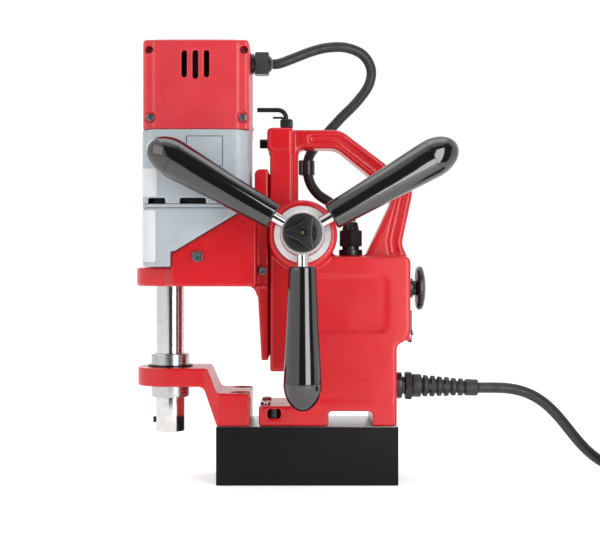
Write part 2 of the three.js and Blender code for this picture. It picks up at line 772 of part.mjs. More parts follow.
// Two flat blades and a round earth pin on one carrier plate.
function plugContacts() {
  const contacts = union(
    block([GAP, 2], [-12, 12], [3, 24]),
    block([1, 18], [-7.1, -5.6], [12, 18.3]),
    block([1, 18], [5.6, 7.1], [12, 18.3]),
    rod("x", 2.4, [1, 21], [0, 7], 12),
  );
  return piece("plug_contacts", contacts, brass());
}

// ---------------------------------------------------------------------------------------------------
// Carriage

const lockScrew = { x: -40.8, z: 194.4 };
const clampScrew = { x: -98.7, z: 207 };

function cheekOutline() {
  return outline([
    [cheek.left, arm.bottom, 2],
    [plate.front + 2, arm.bottom],
    [plate.front + 2, cheek.top],
    [plate.front, cheek.top, 2],
    [-119.2, cheek.heel, 3],
    [cheek.left, cheek.heel, 1],
  ]);
}

function armOutline() {
  const nose = spindleX - arm.noseRadius;
  const corner = arm.noseRadius - 0.1;
  return outline([
    [nose, -arm.noseRadius, corner],
    [cheek.left - 8, -arm.noseRadius, 8],
    [cheek.left + 3, -cheek.halfWidth, 6],
    [plate.front + 2, -cheek.halfWidth],
    [plate.front + 2, cheek.halfWidth],
    [cheek.left + 3, cheek.halfWidth, 6],
    [cheek.left - 8, arm.noseRadius, 8],
    [nose, arm.noseRadius, corner],
  ], 7);
}

function carriageCasting() {
  const { front, back, bottom, top, halfWidth } = plate;
  const inner = cheek.halfWidth - cheek.thickness;
  const side = outline([
    [back, bottom], [back, top], [front, top, 5], [front, 160], [-41.4, bottom, 1],
  ]);
  const tailNeck = slide.neck - (slide.front - back) * dovetailSlope;
  const tailFront = back - 1;
  const casting = union(
    sideSlab(side, [-halfWidth, halfWidth]),
    slab(armOutline(), [arm.bottom, arm.top]),
    sideSlab(cheekOutline(), [-cheek.halfWidth, -inner]),
    sideSlab(cheekOutline(), [inner, cheek.halfWidth]),
    block([front - 3, front + 2], [-inner - 1, inner + 1], [arm.bottom, cheek.top - 1]),
    slab(dovetail(back, slide.back - GAP, tailNeck, 0, 0), [bottom + 4, top - 4]),
    block([tailFront, back + 0.5], [-tailNeck, tailNeck], [bottom + 4, top - 4]),
  );
  return piece("carriage", cut(
    casting,
    rod("z", bearing.outer + GAP, [arm.bottom - 1, arm.top + 1], [spindleX, 0], ROUND),
    rod("y", 3 + GAP, [-cheek.halfWidth - 1, -inner + 1], [clampScrew.x, clampScrew.z]),
    rod("y", 2.5 + GAP, [-halfWidth - 1, -halfWidth + 12], [lockScrew.x, lockScrew.z]),
  ), redPaint());
}

// The rack sits in the back of the dovetail, with a gap between two teeth at the height of the pinion's axis.
function slideRack() {
  const pitchLine = hub.x - (feed.module * feed.teeth) / 2;
  const pitch = Math.PI * feed.module;
  const root = pitchLine - 1.2 * feed.module;
  const tip = pitchLine + feed.rackAddendum * feed.module;
  const slope = Math.tan(PRESSURE_ANGLE);
  const halfAtPitch = (pitch - feed.backlash) / 4;
  const halfAt = (x) => halfAtPitch - (x - pitchLine) * slope;
  const back = slide.back;
  const teeth = 17;
  const points = [[back, hub.z - (teeth / 2) * pitch]];
  for (let tooth = 0; tooth < teeth; tooth++) {
    const middle = hub.z + (tooth - teeth / 2 + 1) * pitch;
    points.push([root, middle - halfAt(root)], [tip, middle - halfAt(tip)]);
    points.push([tip, middle + halfAt(tip)], [root, middle + halfAt(root)]);
  }
  points.push([root, hub.z + (teeth / 2 + 1) * pitch], [back, hub.z + (teeth / 2 + 1) * pitch]);
  return piece("slide_rack", sideSlab(outline(points), [-8, 8]), steel());
}

function frontScrew(name, { x, z }, seatY, sizes) {
  const screw = socketScrew(name, sizes, blackSteel());
  screw.position.set(x, seatY, z);
  screw.rotation.x = Math.PI / 2;
  return screw;
}

// ---------------------------------------------------------------------------------------------------
// Gear case and motor

const bearing = { outer: 20, inner: quillRadius + GAP };

// The housings' plan: a rounded rectangle, `inset` in from the outside.
function unitPlan(inset, halfWidth = motorUnit.halfWidth) {
  return rectangle(
    [motorUnit.left + inset, motorUnit.right - inset],
    [-halfWidth + inset, halfWidth - inset],
    motorUnit.corner - inset,
  );
}

// What the cheeks take up beside the gear case, with `spare` more towards the middle and above.
function cheekSpace(narrow, spare) {
  const left = cheek.left - GAP - spare;
  const rise = GAP + spare;
  const space = outline([
    [left, 190],
    [-40, 190],
    [-40, cheek.top + 5 + rise],
    [plate.front, cheek.top + rise + 0.6],
    [-119.2, cheek.heel + rise + 0.6],
    [left, cheek.heel + rise + 0.6],
  ]);
  return [sideSlab(space, [-60, -narrow]), sideSlab(space, [narrow, 60])];
}

function gearCasePiece() {
  const { bottom, top, narrow, roof } = gearCase;
  const wall = motorUnit.wall;
  const rightCut = block([plate.front - 3 - GAP, 0], [-60, 60], [bottom - 1, top - 2.7]);
  const outside = cut(slab(unitPlan(0), [bottom, top]), ...cheekSpace(narrow, 0), rightCut);
  const inside = cut(
    slab(unitPlan(wall), [bottom + roof, top - roof]),
    ...cheekSpace(narrow - wall, wall),
    block([plate.front - 3 - GAP - wall, 0], [-60, 60], [bottom, top]),
  );
  return piece("gear_case", cut(
    outside,
    inside,
    rod("z", quillRadius + 1, [bottom - 1, bottom + roof + 1], [spindleX, 0], 24),
    rod("z", 6, [top - roof - 1, top + 1], [armatureX, 0], 20),
    rod("y", 2.7 + GAP, [-50, -narrow + wall + 1], [clampScrew.x, clampScrew.z], 12),
  ), greyPlastic());
}

function motorBodyPiece() {
  const { bottom, top } = motorBody;
  const wall = motorUnit.wall;
  const shell = cut(slab(unitPlan(0), [bottom, top]), slab(unitPlan(wall), [bottom - 1, top + 1]));
  const vents = [-143, -112, -80].flatMap((x) =>
    [-1, 1].map((side) => block([x, x + 18], [side * 48 - 8, side * 48 + 8], [bottom - 1, bottom + 6])),
  );
  return piece("motor_body", cut(shell, ...vents), greyPlastic());
}

// One half of the clamshell over the brushes: `side` is -1 at the front and 1 at the rear.
function motorCover(name, side) {
  const { bottom, top, halfWidth, corner } = cover;
  const wall = motorUnit.wall;
  const left = motorUnit.left + 1.6;
  const plan = (inset) =>
    rectangle(
      [left + inset, motorUnit.right - inset],
      [-halfWidth + inset, halfWidth - inset],
      corner - inset,
    );
  const half = side < 0 ? [-60, -GAP / 2] : [GAP / 2, 60];
  const face = side * halfWidth;
  const slots = [-1, 0, 1].map((i) => {
    const x = armatureX + i * 9.9;
    return block([x - 2.5, x + 2.5], [face - 6, face + 6], [i ? 366.5 : 363.5, 391]);
  });
  const screwHoles = coverScrews.map(({ x, z, radius }) =>
    rod("y", radius + 0.8, side < 0 ? [face - 1, face + 1.5] : [face - 1.5, face + 1], [x, z]),
  );
  const holes = coverScrews.map(({ x, z }) => rod("y", 1.8, [-60, 60], [x, z], 8));
  const posts = coverScrews.map(({ x, z }) => rod("y", 5.5, [-halfWidth + 1, halfWidth - 1], [x, z], 8));
  const hollow = cut(slab(plan(wall), [bottom - 1, top - wall]), ...posts);
  const shell = cut(
    slab(plan(0), [bottom, top]).intersect(block([-200, 0], half, [300, 420])),
    hollow,
    ...slots,
    ...screwHoles,
    ...holes,
    rod("x", 6.8, [-62, -40], [0, glandZ], 20),
  );
  return piece(name, shell, redPaint());
}

const coverScrews = [
  { name: "cover_screw_upper_left", x: -139.5, z: 393, radius: 3.2 },
  { name: "cover_screw_upper_right", x: -60.2, z: 393, radius: 3.2 },
  { name: "cover_screw_lower_left", x: -139.5, z: 332, radius: 4.2 },
  { name: "cover_screw_lower_right", x: -60.2, z: 332, radius: 4.2 },
];

function coverScrew({ name, x, z, radius }) {
  const seat = -cover.halfWidth + 1.5;
  const shape = cut(
    union(rod("z", radius, [0, 1.4], [0, 0], 14), rod("z", 1.4, [-34, 0.5], [0, 0], 6)),
    block([-radius * 0.6, radius * 0.6], [-0.5, 0.5], [0.7, 2]),
    block([-0.5, 0.5], [-radius * 0.6, radius * 0.6], [0.7, 2]),
  );
  const mesh = piece(name, shape, steel());
  mesh.position.set(x, seat - GAP, z);
  mesh.rotation.x = Math.PI / 2;
  return mesh;
}

function motorStator() {
  const tube = turned([[23.5, 284], [40, 284], [40, 318], [23.5, 318]], 28);
  return piece("motor_stator", moved(tube, armatureX, 0, 0), steel());
}

// Shaft, fan, laminated core, commutator and pinion turn as one about the motor's axis.
function armaturePiece() {
  const { module, pinionTeeth } = firstStage;
  const pinion = { module, teeth: pinionTeeth, addendum: 0.85, phase: armatureToIdler };
  const solid = union(
    rod("z", 4, [232, 388], [0, 0], 10),
    gear({ ...pinion, flankSteps: 2 }, [222, 233]),
    rod("z", 36, [262, 271], [0, 0], 20),
    rod("z", 22.5, [282, 320], [0, 0], 20),
    rod("z", 14, [338, 358], [0, 0], 16),
  );
  return piece("armature", solid, copper());
}

function idlerPiece() {
  const wheel = {
    module: firstStage.module,
    teeth: firstStage.gearTeeth,
    addendum: 0.8,
    phase: armatureToIdler + Math.PI + Math.PI / firstStage.gearTeeth,
  };
  const { module, pinionTeeth } = secondStage;
  const pinion = { module, teeth: pinionTeeth, addendum: 0.85, phase: idlerToSpindle };
  const solid = union(
    gear(wheel, [224, 231]),
    gear({ ...pinion, flankSteps: 2 }, [204, 225]),
    rod("z", 4, [201.5, 250], [0, 0], 12),
  );
  return piece("idler_gear", solid, steel());
}

function spindleGear() {
  const wheel = {
    module: secondStage.module,
    teeth: secondStage.gearTeeth,
    addendum: 0.8,
    phase: idlerToSpindle + Math.PI + Math.PI / secondStage.gearTeeth,
  };
  const bored = cut(gear(wheel, [205, 217]), rod("z", 10 + GAP, [200, 220], [0, 0], 24));
  return piece("spindle_gear", bored, steel());
}

function spindleBearing() {
  const { outer, inner } = bearing;
  const ring = turned([[inner, 181.5], [outer, 181.5], [outer, 196.5], [inner, 196.5]]);
  return piece("spindle_bearing", moved(ring, spindleX, 0, 0), steel());
}

// The spindle ends in a socket for annular cutters, held by a set screw from the side.
function spindlePiece() {
  const { radius, bore, depth, top } = arbor;
  const profile = [
    [0, arborBottom + depth], [bore, arborBottom + depth], [bore, arborBottom + 1], [bore + 1, arborBottom],
    [radius, arborBottom], [radius, top], [quillRadius, top + 1], [quillRadius, 200],
    [10, 200.5], [10, 221], [0, 221],
  ];
  const screwHole = rod("x", 3 + GAP, [-radius - 2, -5], [0, 55]);
  return piece("spindle", cut(turned(profile), screwHole), chrome());
}

function arborSetScrew() {
  const screw = cut(
    rod("x", 3, [-arbor.radius - 2, -arbor.bore], [0, 55], 12),
    endSlab(regularPolygon(6, 3), [-arbor.radius - 3, -arbor.radius + 0.5]).translate([0, 0, 55]),
  );
  return piece("arbor_set_screw", screw, blackSteel());
}

// ---------------------------------------------------------------------------------------------------
// Feed capstan, built along +Z from the machine's middle plane towards the operator, with its arms in XY

function pinionShaft() {
  const shape = gear({
    module: feed.module,
    teeth: feed.teeth,
    addendum: feed.addendum,
    backlash: feed.backlash,
    phase: Math.PI,
    flankSteps: 3,
  }, [-10, 10]);
  const shaft = rod("z", pinionShaftRadius - 0.4, [bossRear * -1 - 2, capstan.front - 1], [0, 0], 20);
  return piece("pinion_shaft", union(shape, shaft), steel());
}

function pinionBush(name, [from, to]) {
  const inner = pinionShaftRadius;
  const outer = pinionBore - GAP;
  return piece(name, turned([[inner, from], [outer, from], [outer, to], [inner, to]], 24), brass());
}

function capstanHub() {
  const { flangeBack, flangeRadius, front, armPlane, rodRadius } = capstan;
  const bore = pinionShaftRadius;
  const profile = [
    [bore, flangeBack], [flangeRadius, flangeBack], [flangeRadius, flangeBack + 4], [21.5, flangeBack + 5.5],
    [20.5, 68], [19.5, front - 1.5], [18, front], [bore, front],
  ];
  const rodHoles = [30, 150, 270].map((angle) =>
    rod("x", rodRadius + GAP, [5, 30], [0, armPlane]).rotate([0, 0, angle]),
  );
  return piece("capstan_hub", cut(turned(profile), ...rodHoles), aluminium());
}

// The dark cap carries a raised knob with three lobes, one towards the spindle.
function hubCap() {
  const start = capstan.front + GAP;
  const lobes = [];
  for (const tip of [60, 180, 300]) {
    lobes.push([20.5 * Math.cos((tip * Math.PI) / 180), 20.5 * Math.sin((tip * Math.PI) / 180), 2]);
    const waist = ((tip + 60) * Math.PI) / 180;
    lobes.push([7.8 * Math.cos(waist), 7.8 * Math.sin(waist), 14]);
  }
  const cap = union(
    turned([[0, start], [17, start], [17, start + 2], [16, start + 3], [0, start + 3]], 28),
    slab(outline(lobes), [start + 2, start + 9]),
  );
  return piece("hub_cap", cut(cap, rod("z", 3.2, [start + 6, start + 12], [0, 0])), blackPlastic());
}

// A handle grows towards its rounded tip, and its rod reaches deep into it.
function gripProfile() {
  const { start, end } = grip;
  const belly = [
    [start, 11], [start + 1.2, 12.3], [58.8, 13.2], [83.7, 14.35], [113.6, 16.2], [130, 16.95],
  ];
  const tip = [1, 2, 3, 4, 5].map((step) => {
    const angle = (step * Math.PI) / 10;
    return [130 + (end - 130) * Math.sin(angle), 16.95 * Math.cos(angle)];
  });
  tip[4][1] = 0;
  const socket = [[90, 0], [90, capstan.rodRadius + GAP], [start, capstan.rodRadius + GAP]];
  return [...socket, ...belly, ...tip].map(([along, radius]) => [radius, along]);
}

function capstanArm(label, angle) {
  const arm = new THREE.Group();
  const rodMesh = piece(`handle_rod_${label}`, rod("x", capstan.rodRadius, [9, 89], [0, 0], 16), chrome());
  const gripMesh = piece(`handle_grip_${label}`, turnedAlongX(gripProfile(), 16), blackPlastic());
  arm.add(rodMesh, gripMesh);
  arm.position.z = capstan.armPlane;
  arm.rotation.z = (angle * Math.PI) / 180;
  return arm;
}

// ---------------------------------------------------------------------------------------------------
// Assembly

function capstanGroup() {
  const group = new THREE.Group();
  group.add(
    pinionShaft(),
    pinionBush("pinion_bush_front", [12, -bossFront]),
    pinionBush("pinion_bush_rear", [-bossRear, -12]),
    capstanHub(),
    hubCap(),
    capstanArm("right", 30),
    capstanArm("left", 150),
    capstanArm("lower", 270),
  );
  group.position.set(hub.x, 0, hub.z);
  group.rotation.x = Math.PI / 2;
  return group;
}

function standGroup() {
  const group = new THREE.Group();
  group.add(
    magnetBody(),
    magnetCoil(),
    lowerBracket(),
    bracketBolts(),
    guideBushing(),
    retainingRing(),
    standCasting(),
    standBolt(),
    gibStrip(),
    gibScrewUpper(),
    travelStopBolt(),
    keyHolder(),
    ...keys.map(hexKey),
    controlPanel(),
    circuitBoard(),
    stopButtonCollar(),
    stopButtonHead(),
    rockerFrame(),
    rockerPaddle(),
    mainsGlandPiece(),
    topGlandPiece(),
    cableClip(),
    interconnectCable(),
    strainReliefBoot(),
  );
  return group;
}

function carriageGroup() {
  const group = new THREE.Group();
  group.add(
    carriageCasting(),
    slideRack(),
    frontScrew("motor_clamp_screw", clampScrew, -cheek.halfWidth - GAP, {
      headRadius: 5, headHeight: 4, shankRadius: 2.7, shankLength: 9, socket: 4,
    }),
    frontScrew("slide_lock_screw", lockScrew, -plate.halfWidth - GAP, {
      headRadius: 4, headHeight: 4, shankRadius: 2.5, shankLength: 10, socket: 4,
    }),
    gearCasePiece(),
    motorBodyPiece(),
    motorCover("motor_cover_front", -1),
    motorCover("motor_cover_rear", 1),
    ...coverScrews.map(coverScrew),
    motorStator(),
    motorGlandPiece(),
    spindleBearing(),
  );
  return group;
}

function shaftGroup(x, y, ...meshes) {
  const group = new THREE.Group();
  group.add(...meshes);
  group.position.set(x, y, 0);
  return group;
}

function cordGroup() {
  const group = new THREE.Group();
  const plug = new THREE.Group();
  plug.add(mainsPlug(), plugContacts());
  plug.position.set(cordCoil.x - 30, cordCoil.y - 52, cordCoil.height + GAP);
  plug.rotation.z = Math.PI;
  group.add(mainsCord(), cordCoilRing(), plug);
  return group;
}

const magneticDrillPress = new THREE.Group();
magneticDrillPress.add(
  standGroup(),
  carriageGroup(),
  shaftGroup(spindleX, 0, spindlePiece(), spindleGear(), arborSetScrew()),
  shaftGroup(armatureX, 0, armaturePiece()),
  shaftGroup(idler.x, idler.y, idlerPiece()),
  capstanGroup(),
  cordGroup(),
);

export default magneticDrillPress;
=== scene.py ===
"""The looks of a magnetic drill press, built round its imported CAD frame.

Shapes are worked out in millimetres, in the frame's own axes: +Z up, +X from the spindle to the switch side,
-Y towards the operator. Every piece keeps its place in its mesh, as the CAD nodes do.
"""

import json
import math

import bmesh
import bpy
from mathutils import Matrix, Vector


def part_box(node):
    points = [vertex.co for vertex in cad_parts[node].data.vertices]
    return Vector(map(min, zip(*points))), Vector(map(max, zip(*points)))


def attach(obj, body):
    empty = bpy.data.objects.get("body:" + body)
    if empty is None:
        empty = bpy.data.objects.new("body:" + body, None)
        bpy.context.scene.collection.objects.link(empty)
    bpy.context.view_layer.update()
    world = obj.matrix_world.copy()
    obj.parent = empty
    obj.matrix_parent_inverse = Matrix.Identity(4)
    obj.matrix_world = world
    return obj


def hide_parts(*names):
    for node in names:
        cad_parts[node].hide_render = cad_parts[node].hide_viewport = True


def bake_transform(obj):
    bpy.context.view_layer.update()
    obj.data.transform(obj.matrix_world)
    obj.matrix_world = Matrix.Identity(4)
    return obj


MM = 0.001
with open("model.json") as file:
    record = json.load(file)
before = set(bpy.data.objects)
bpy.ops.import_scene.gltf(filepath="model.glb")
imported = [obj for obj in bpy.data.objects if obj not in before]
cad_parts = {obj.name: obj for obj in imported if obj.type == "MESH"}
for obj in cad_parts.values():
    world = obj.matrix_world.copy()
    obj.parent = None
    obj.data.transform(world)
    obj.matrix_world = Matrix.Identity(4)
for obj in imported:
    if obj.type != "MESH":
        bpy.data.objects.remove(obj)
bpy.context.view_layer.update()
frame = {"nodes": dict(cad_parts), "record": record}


# ----------------------------------------------------------------------------------------------------
# Places taken from the frame

def low(node):
    """A node's lowest corner at rest, in millimetres."""
    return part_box(node)[0] / MM


def high(node):
    """A node's highest corner at rest, in millimetres."""
    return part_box(node)[1] / MM


def middle(node):
    """The middle of a node's box at rest, in millimetres."""
    return (low(node) + high(node)) / 2


# ----------------------------------------------------------------------------------------------------
# Outlines and meshes

def rounded(corners, steps=8):
    """A closed outline of (x, y) or (x, y, radius) corners, with an arc at each corner that has a radius."""
    points = []
    for i, corner in enumerate(corners):
        here = Vector(corner[:2])
        radius = corner[2] if len(corner) > 2 else 0
        if not radius:
            points.append(here)
            continue
        back = (Vector(corners[i - 1][:2]) - here).normalized()
        ahead = (Vector(corners[(i + 1) % len(corners)][:2]) - here).normalized()
        half = back.angle(ahead) / 2
        centre = here + (back + ahead).normalized() * radius / math.sin(half)
        start = here + back * radius / math.tan(half) - centre
        sweep = -math.copysign(math.pi - 2 * half, back.x * ahead.y - back.y * ahead.x)
        for step in range(steps + 1):
            points.append(centre + Matrix.Rotation(sweep * step / steps, 2) @ start)
    return points


def rectangle(x_span, y_span, radius=0, steps=8):
    """An upright rectangle's outline, its corners rounded where a radius is given."""
    (x0, x1), (y0, y1) = x_span, y_span
    return rounded([(x0, y0, radius), (x1, y0, radius), (x1, y1, radius), (x0, y1, radius)], steps)


def bowed(x_span, y_span, radius, bow, ledge=0.0, drop=0.0):
    """A rectangle with two sides swollen by `bow`; a ledge leaves flat corner posts, `drop` further back."""
    (x0, x1), (y0, y1) = x_span, y_span
    centre = (x0 + x1) / 2
    reach = (x1 - x0) / 2 - max(radius, ledge)
    steps = 18
    places = [centre + reach * (2 * i / steps - 1) for i in range(steps + 1)]
    swell = [(x, bow * ((x - centre) / reach) ** 2) for x in places[1:-1]]
    if ledge:
        swell = [(x0 + ledge, bow), *swell, (x1 - ledge, bow)]
        swell = [(x0 + ledge - 1.0, bow + drop), *swell, (x1 - ledge + 1.0, bow + drop)]
    back = bow + drop
    front = [(x, y0 + depth) for x, depth in swell]
    rear = [(x, y1 - depth) for x, depth in reversed(swell)]
    return rounded([
        (x0, y0 + back, radius), *front, (x1, y0 + back, radius), (x1, y1 - back, radius), *rear,
        (x0, y1 - back, radius),
    ], 10)


def polygon(sides, across):
    """A regular polygon's outline, `across` from flat to flat."""
    radius = across / 2 / math.cos(math.pi / sides)
    turns = [2 * math.pi * (i + 0.5) / sides for i in range(sides)]
    return [Vector((radius * math.cos(a), radius * math.sin(a))) for a in turns]


def linked(name, data):
    """A new object in the scene that holds data."""
    obj = bpy.data.objects.new(name, data)
    bpy.context.scene.collection.objects.link(obj)
    return obj


def add_object(name, mesh, smooth_angle=35):
    """An object at the origin, smooth but for the edges sharper than smooth_angle degrees."""
    mesh.name = name
    mesh.polygons.foreach_set("use_smooth", [True] * len(mesh.polygons))
    mesh.set_sharp_from_angle(angle=math.radians(smooth_angle))
    return linked(name, mesh)


def from_bmesh(name, bm, smooth_angle=35):
    """An object with outward faces out of a bmesh, which is used up."""
    bmesh.ops.recalc_face_normals(bm, faces=bm.faces)
    mesh = bpy.data.meshes.new(name)
    bm.to_mesh(mesh)
    bm.free()
    return add_object(name, mesh, smooth_angle)


def evaluated_mesh(obj):
    """The mesh of an object as its modifiers or curve settings make it."""
    graph = bpy.context.evaluated_depsgraph_get()
    return bpy.data.meshes.new_from_object(obj.evaluated_get(graph))


def discard(obj):
    """Takes an object and its mesh or curve out of the file."""
    data = obj.data
    bpy.data.objects.remove(obj)
    if isinstance(data, bpy.types.Mesh):
        bpy.data.meshes.remove(data)
    else:
        bpy.data.curves.remove(data)


def welded(obj):
    """A bmesh of a curve object's surface with its doubled points merged; the object is used up."""
    mesh = evaluated_mesh(obj)
    discard(obj)
    bm = bmesh.new()
    bm.from_mesh(mesh)
    bpy.data.meshes.remove(mesh)
    bmesh.ops.remove_doubles(bm, verts=bm.verts, dist=1e-6)
    return bm


def move(obj, at, turn):
    """Turns an object's mesh about the origin, then carries it to `at`."""
    obj.data.transform(Matrix.Translation(Vector(at) * MM) @ turn)
    return obj


def settle(obj, smooth_angle=35):
    """Applies the modifiers on obj to its mesh."""
    mesh = evaluated_mesh(obj)
    name = obj.name
    discard(obj)
    return add_object(name, mesh, smooth_angle)


AXES = {
    "X": Matrix(((0, 0, 1), (0, 1, 0), (-1, 0, 0))),
    "Y": Matrix(((1, 0, 0), (0, 0, 1), (0, -1, 0))),
    "-Y": Matrix(((1, 0, 0), (0, 0, -1), (0, 1, 0))),
    "Z": Matrix.Identity(3),
}


def lathe(name, profile, axis="Z", at=(0, 0, 0), segments=96, steps=6):
    """A (radius, along) profile turned about an axis through `at`; corners take a radius as in rounded()."""
    outline = rounded(profile, steps)
    bm = bmesh.new()
    rings = []
    for radius, along in outline:
        if radius < 1e-6:
            rings.append([bm.verts.new((0, 0, along))])
            continue
        turns = [2 * math.pi * i / segments for i in range(segments)]
        rings.append([bm.verts.new((radius * math.cos(a), radius * math.sin(a), along)) for a in turns])
    for ring, following in zip(rings, rings[1:] + rings[:1]):
        if len(ring) == len(following) == 1:
            continue
        for i in range(segments):
            corners = [ring[i % len(ring)], ring[(i + 1) % len(ring)]]
            corners += [following[(i + 1) % len(following)], following[i % len(following)]]
            bm.faces.new(list(dict.fromkeys(corners)))
    place = Matrix.Translation(Vector(at) * MM) @ AXES[axis].to_4x4() @ Matrix.Scale(MM, 4)
    bmesh.ops.transform(bm, matrix=place, verts=bm.verts)
    return from_bmesh(name, bm)


PLANES = {
    "XY": (Matrix.Identity(3), 1),
    "XZ": (Matrix(((1, 0, 0), (0, 0, -1), (0, 1, 0))), -1),
    "YZ": (Matrix(((0, 0, 1), (1, 0, 0), (0, 1, 0))), 1),
}


def plate(name, outlines, span, plane="XZ", edge=0.8, edge_steps=2):
    """Outlines in a plane, holes among them, raised over a span of the third axis, with rounded edges."""
    curve = bpy.data.curves.new(name, "CURVE")
    curve.dimensions = "2D"
    curve.fill_mode = "BOTH"
    curve.bevel_depth = edge * MM
    curve.bevel_resolution = edge_steps
    curve.offset = -edge * MM
    curve.extrude = ((span[1] - span[0]) / 2 - edge) * MM
    for outline in outlines:
        spline = curve.splines.new("POLY")
        spline.points.add(len(outline) - 1)
        for point, (x, y) in zip(spline.points, outline):
            point.co = (x * MM, y * MM, 0, 1)
        spline.use_cyclic_u = True
    bm = welded(linked(name, curve))
    turn, sign = PLANES[plane]
    lift = Matrix.Translation((0, 0, sign * (span[0] + span[1]) / 2 * MM))
    bmesh.ops.transform(bm, matrix=turn.to_4x4() @ lift, verts=bm.verts)
    return from_bmesh(name, bm)


def cutter(name, outline, span, plane="XZ"):
    """A prism with barely broken edges, for cutting."""
    return plate(name, [outline], span, plane, 0.1, 1)


def twin_cutters(name, outline, near, far):
    """The same prism in the front and in the rear, from near to far off the middle plane."""
    spans = {"front": (-far, -near), "rear": (near, far)}
    return [cutter(f"{name}_{end}", outline, span) for end, span in spans.items()]


def block(name, x_span, y_span, z_span, edge=0.0):
    """A box over three spans, with rounded edges where an edge radius is given."""
    if edge:
        return plate(name, [rectangle(x_span, z_span, edge, 3)], y_span, "XZ", edge)
    bm = bmesh.new()
    bmesh.ops.create_cube(bm, size=1)
    size = [(b - a) * MM for a, b in (x_span, y_span, z_span)]
    centre = [(a + b) / 2 * MM for a, b in (x_span, y_span, z_span)]
    bmesh.ops.transform(bm, matrix=Matrix.LocRotScale(centre, None, size), verts=bm.verts)
    return from_bmesh(name, bm)


def cylinder(name, radius, span, axis="Z", at=(0, 0, 0), segments=64):
    """A plain cylinder over a span of an axis through `at`."""
    return lathe(name, [(0, span[0]), (radius, span[0]), (radius, span[1]), (0, span[1])], axis, at, segments)


def joined(name, parts):
    """One object out of several; where they overlap they still cross."""
    bm = bmesh.new()
    for part in parts:
        bm.from_mesh(part.data)
        discard(part)
    mesh = bpy.data.meshes.new(name)
    bm.to_mesh(mesh)
    bm.free()
    return add_object(name, mesh)


def boolean(obj, operation, tool):
    """obj cut by, kept inside or joined with tool, which is used up."""
    modifier = obj.modifiers.new("Boolean", "BOOLEAN")
    modifier.operation = operation
    modifier.solver = "EXACT"
    modifier.use_self = True
    modifier.object = tool
    result = settle(obj)
    discard(tool)
    return result


def cut(obj, *tools):
    """obj with the tools taken out of it."""
    return boolean(obj, "DIFFERENCE", joined("cutters", tools))


def cast(obj, voxel=1.0, smoothing=4, share=0.45):
    """Melts crossing solids into one and rounds its edges, as sand casting and paint do."""
    remesh = obj.modifiers.new("Remesh", "REMESH")
    remesh.mode = "VOXEL"
    remesh.voxel_size = voxel * MM
    smooth = obj.modifiers.new("Smooth", "SMOOTH")
    smooth.factor = 0.5
    smooth.iterations = smoothing
    thin = obj.modifiers.new("Decimate", "DECIMATE")
    thin.ratio = share
    return settle(obj, 60)


def catmull(points, spacing):
    """Points about `spacing` apart on a smooth curve through the given ones."""
    knots = [Vector(p) for p in points]
    knots = [knots[0] * 2 - knots[1]] + knots + [knots[-1] * 2 - knots[-2]]
    curve = []
    for p0, p1, p2, p3 in zip(knots, knots[1:], knots[2:], knots[3:]):
        steps = max(1, round((p2 - p1).length / spacing))
        t01, t12, t23 = ((b - a).length ** 0.5 for a, b in ((p0, p1), (p1, p2), (p2, p3)))
        m1 = (p2 - p1) + t12 * ((p1 - p0) / t01 - (p2 - p0) / (t01 + t12))
        m2 = (p2 - p1) + t12 * ((p3 - p2) / t23 - (p3 - p1) / (t12 + t23))
        for step in range(steps):
            t = step / steps
            curve.append(
                (2 * t**3 - 3 * t**2 + 1) * p1
                + (t**3 - 2 * t**2 + t) * m1
                + (3 * t**2 - 2 * t**3) * p2
                + (t**3 - t**2) * m2
            )
    return curve + [knots[-2]]


def tube(name, points, radius):
    """A round curve object through the points."""
    curve = bpy.data.curves.new(name, "CURVE")
    curve.dimensions = "3D"
    curve.bevel_depth = radius * MM
    curve.bevel_resolution = 6
    curve.use_fill_caps = True
    spline = curve.splines.new("POLY")
    spline.points.add(len(points) - 1)
    for point, place in zip(spline.points, points):
        point.co = (*(Vector(place) * MM), 1)
    spline.use_smooth = True
    return linked(name, curve)


def tube_mesh(name, points, radius):
    """A closed round bar through the points."""
    return from_bmesh(name, welded(tube(name, points, radius)))


# ----------------------------------------------------------------------------------------------------
# Materials

def add_node(tree, kind, inputs=(), **settings):
    """A shader node with its settings, and its inputs either linked or given a value."""
    made = tree.nodes.new(kind)
    for key, value in settings.items():
        setattr(made, key, value)
    for socket, value in dict(inputs).items():
        if isinstance(value, bpy.types.NodeSocket):
            tree.links.new(value, made.inputs[socket])
        else:
            made.inputs[socket].default_value = value
    return made


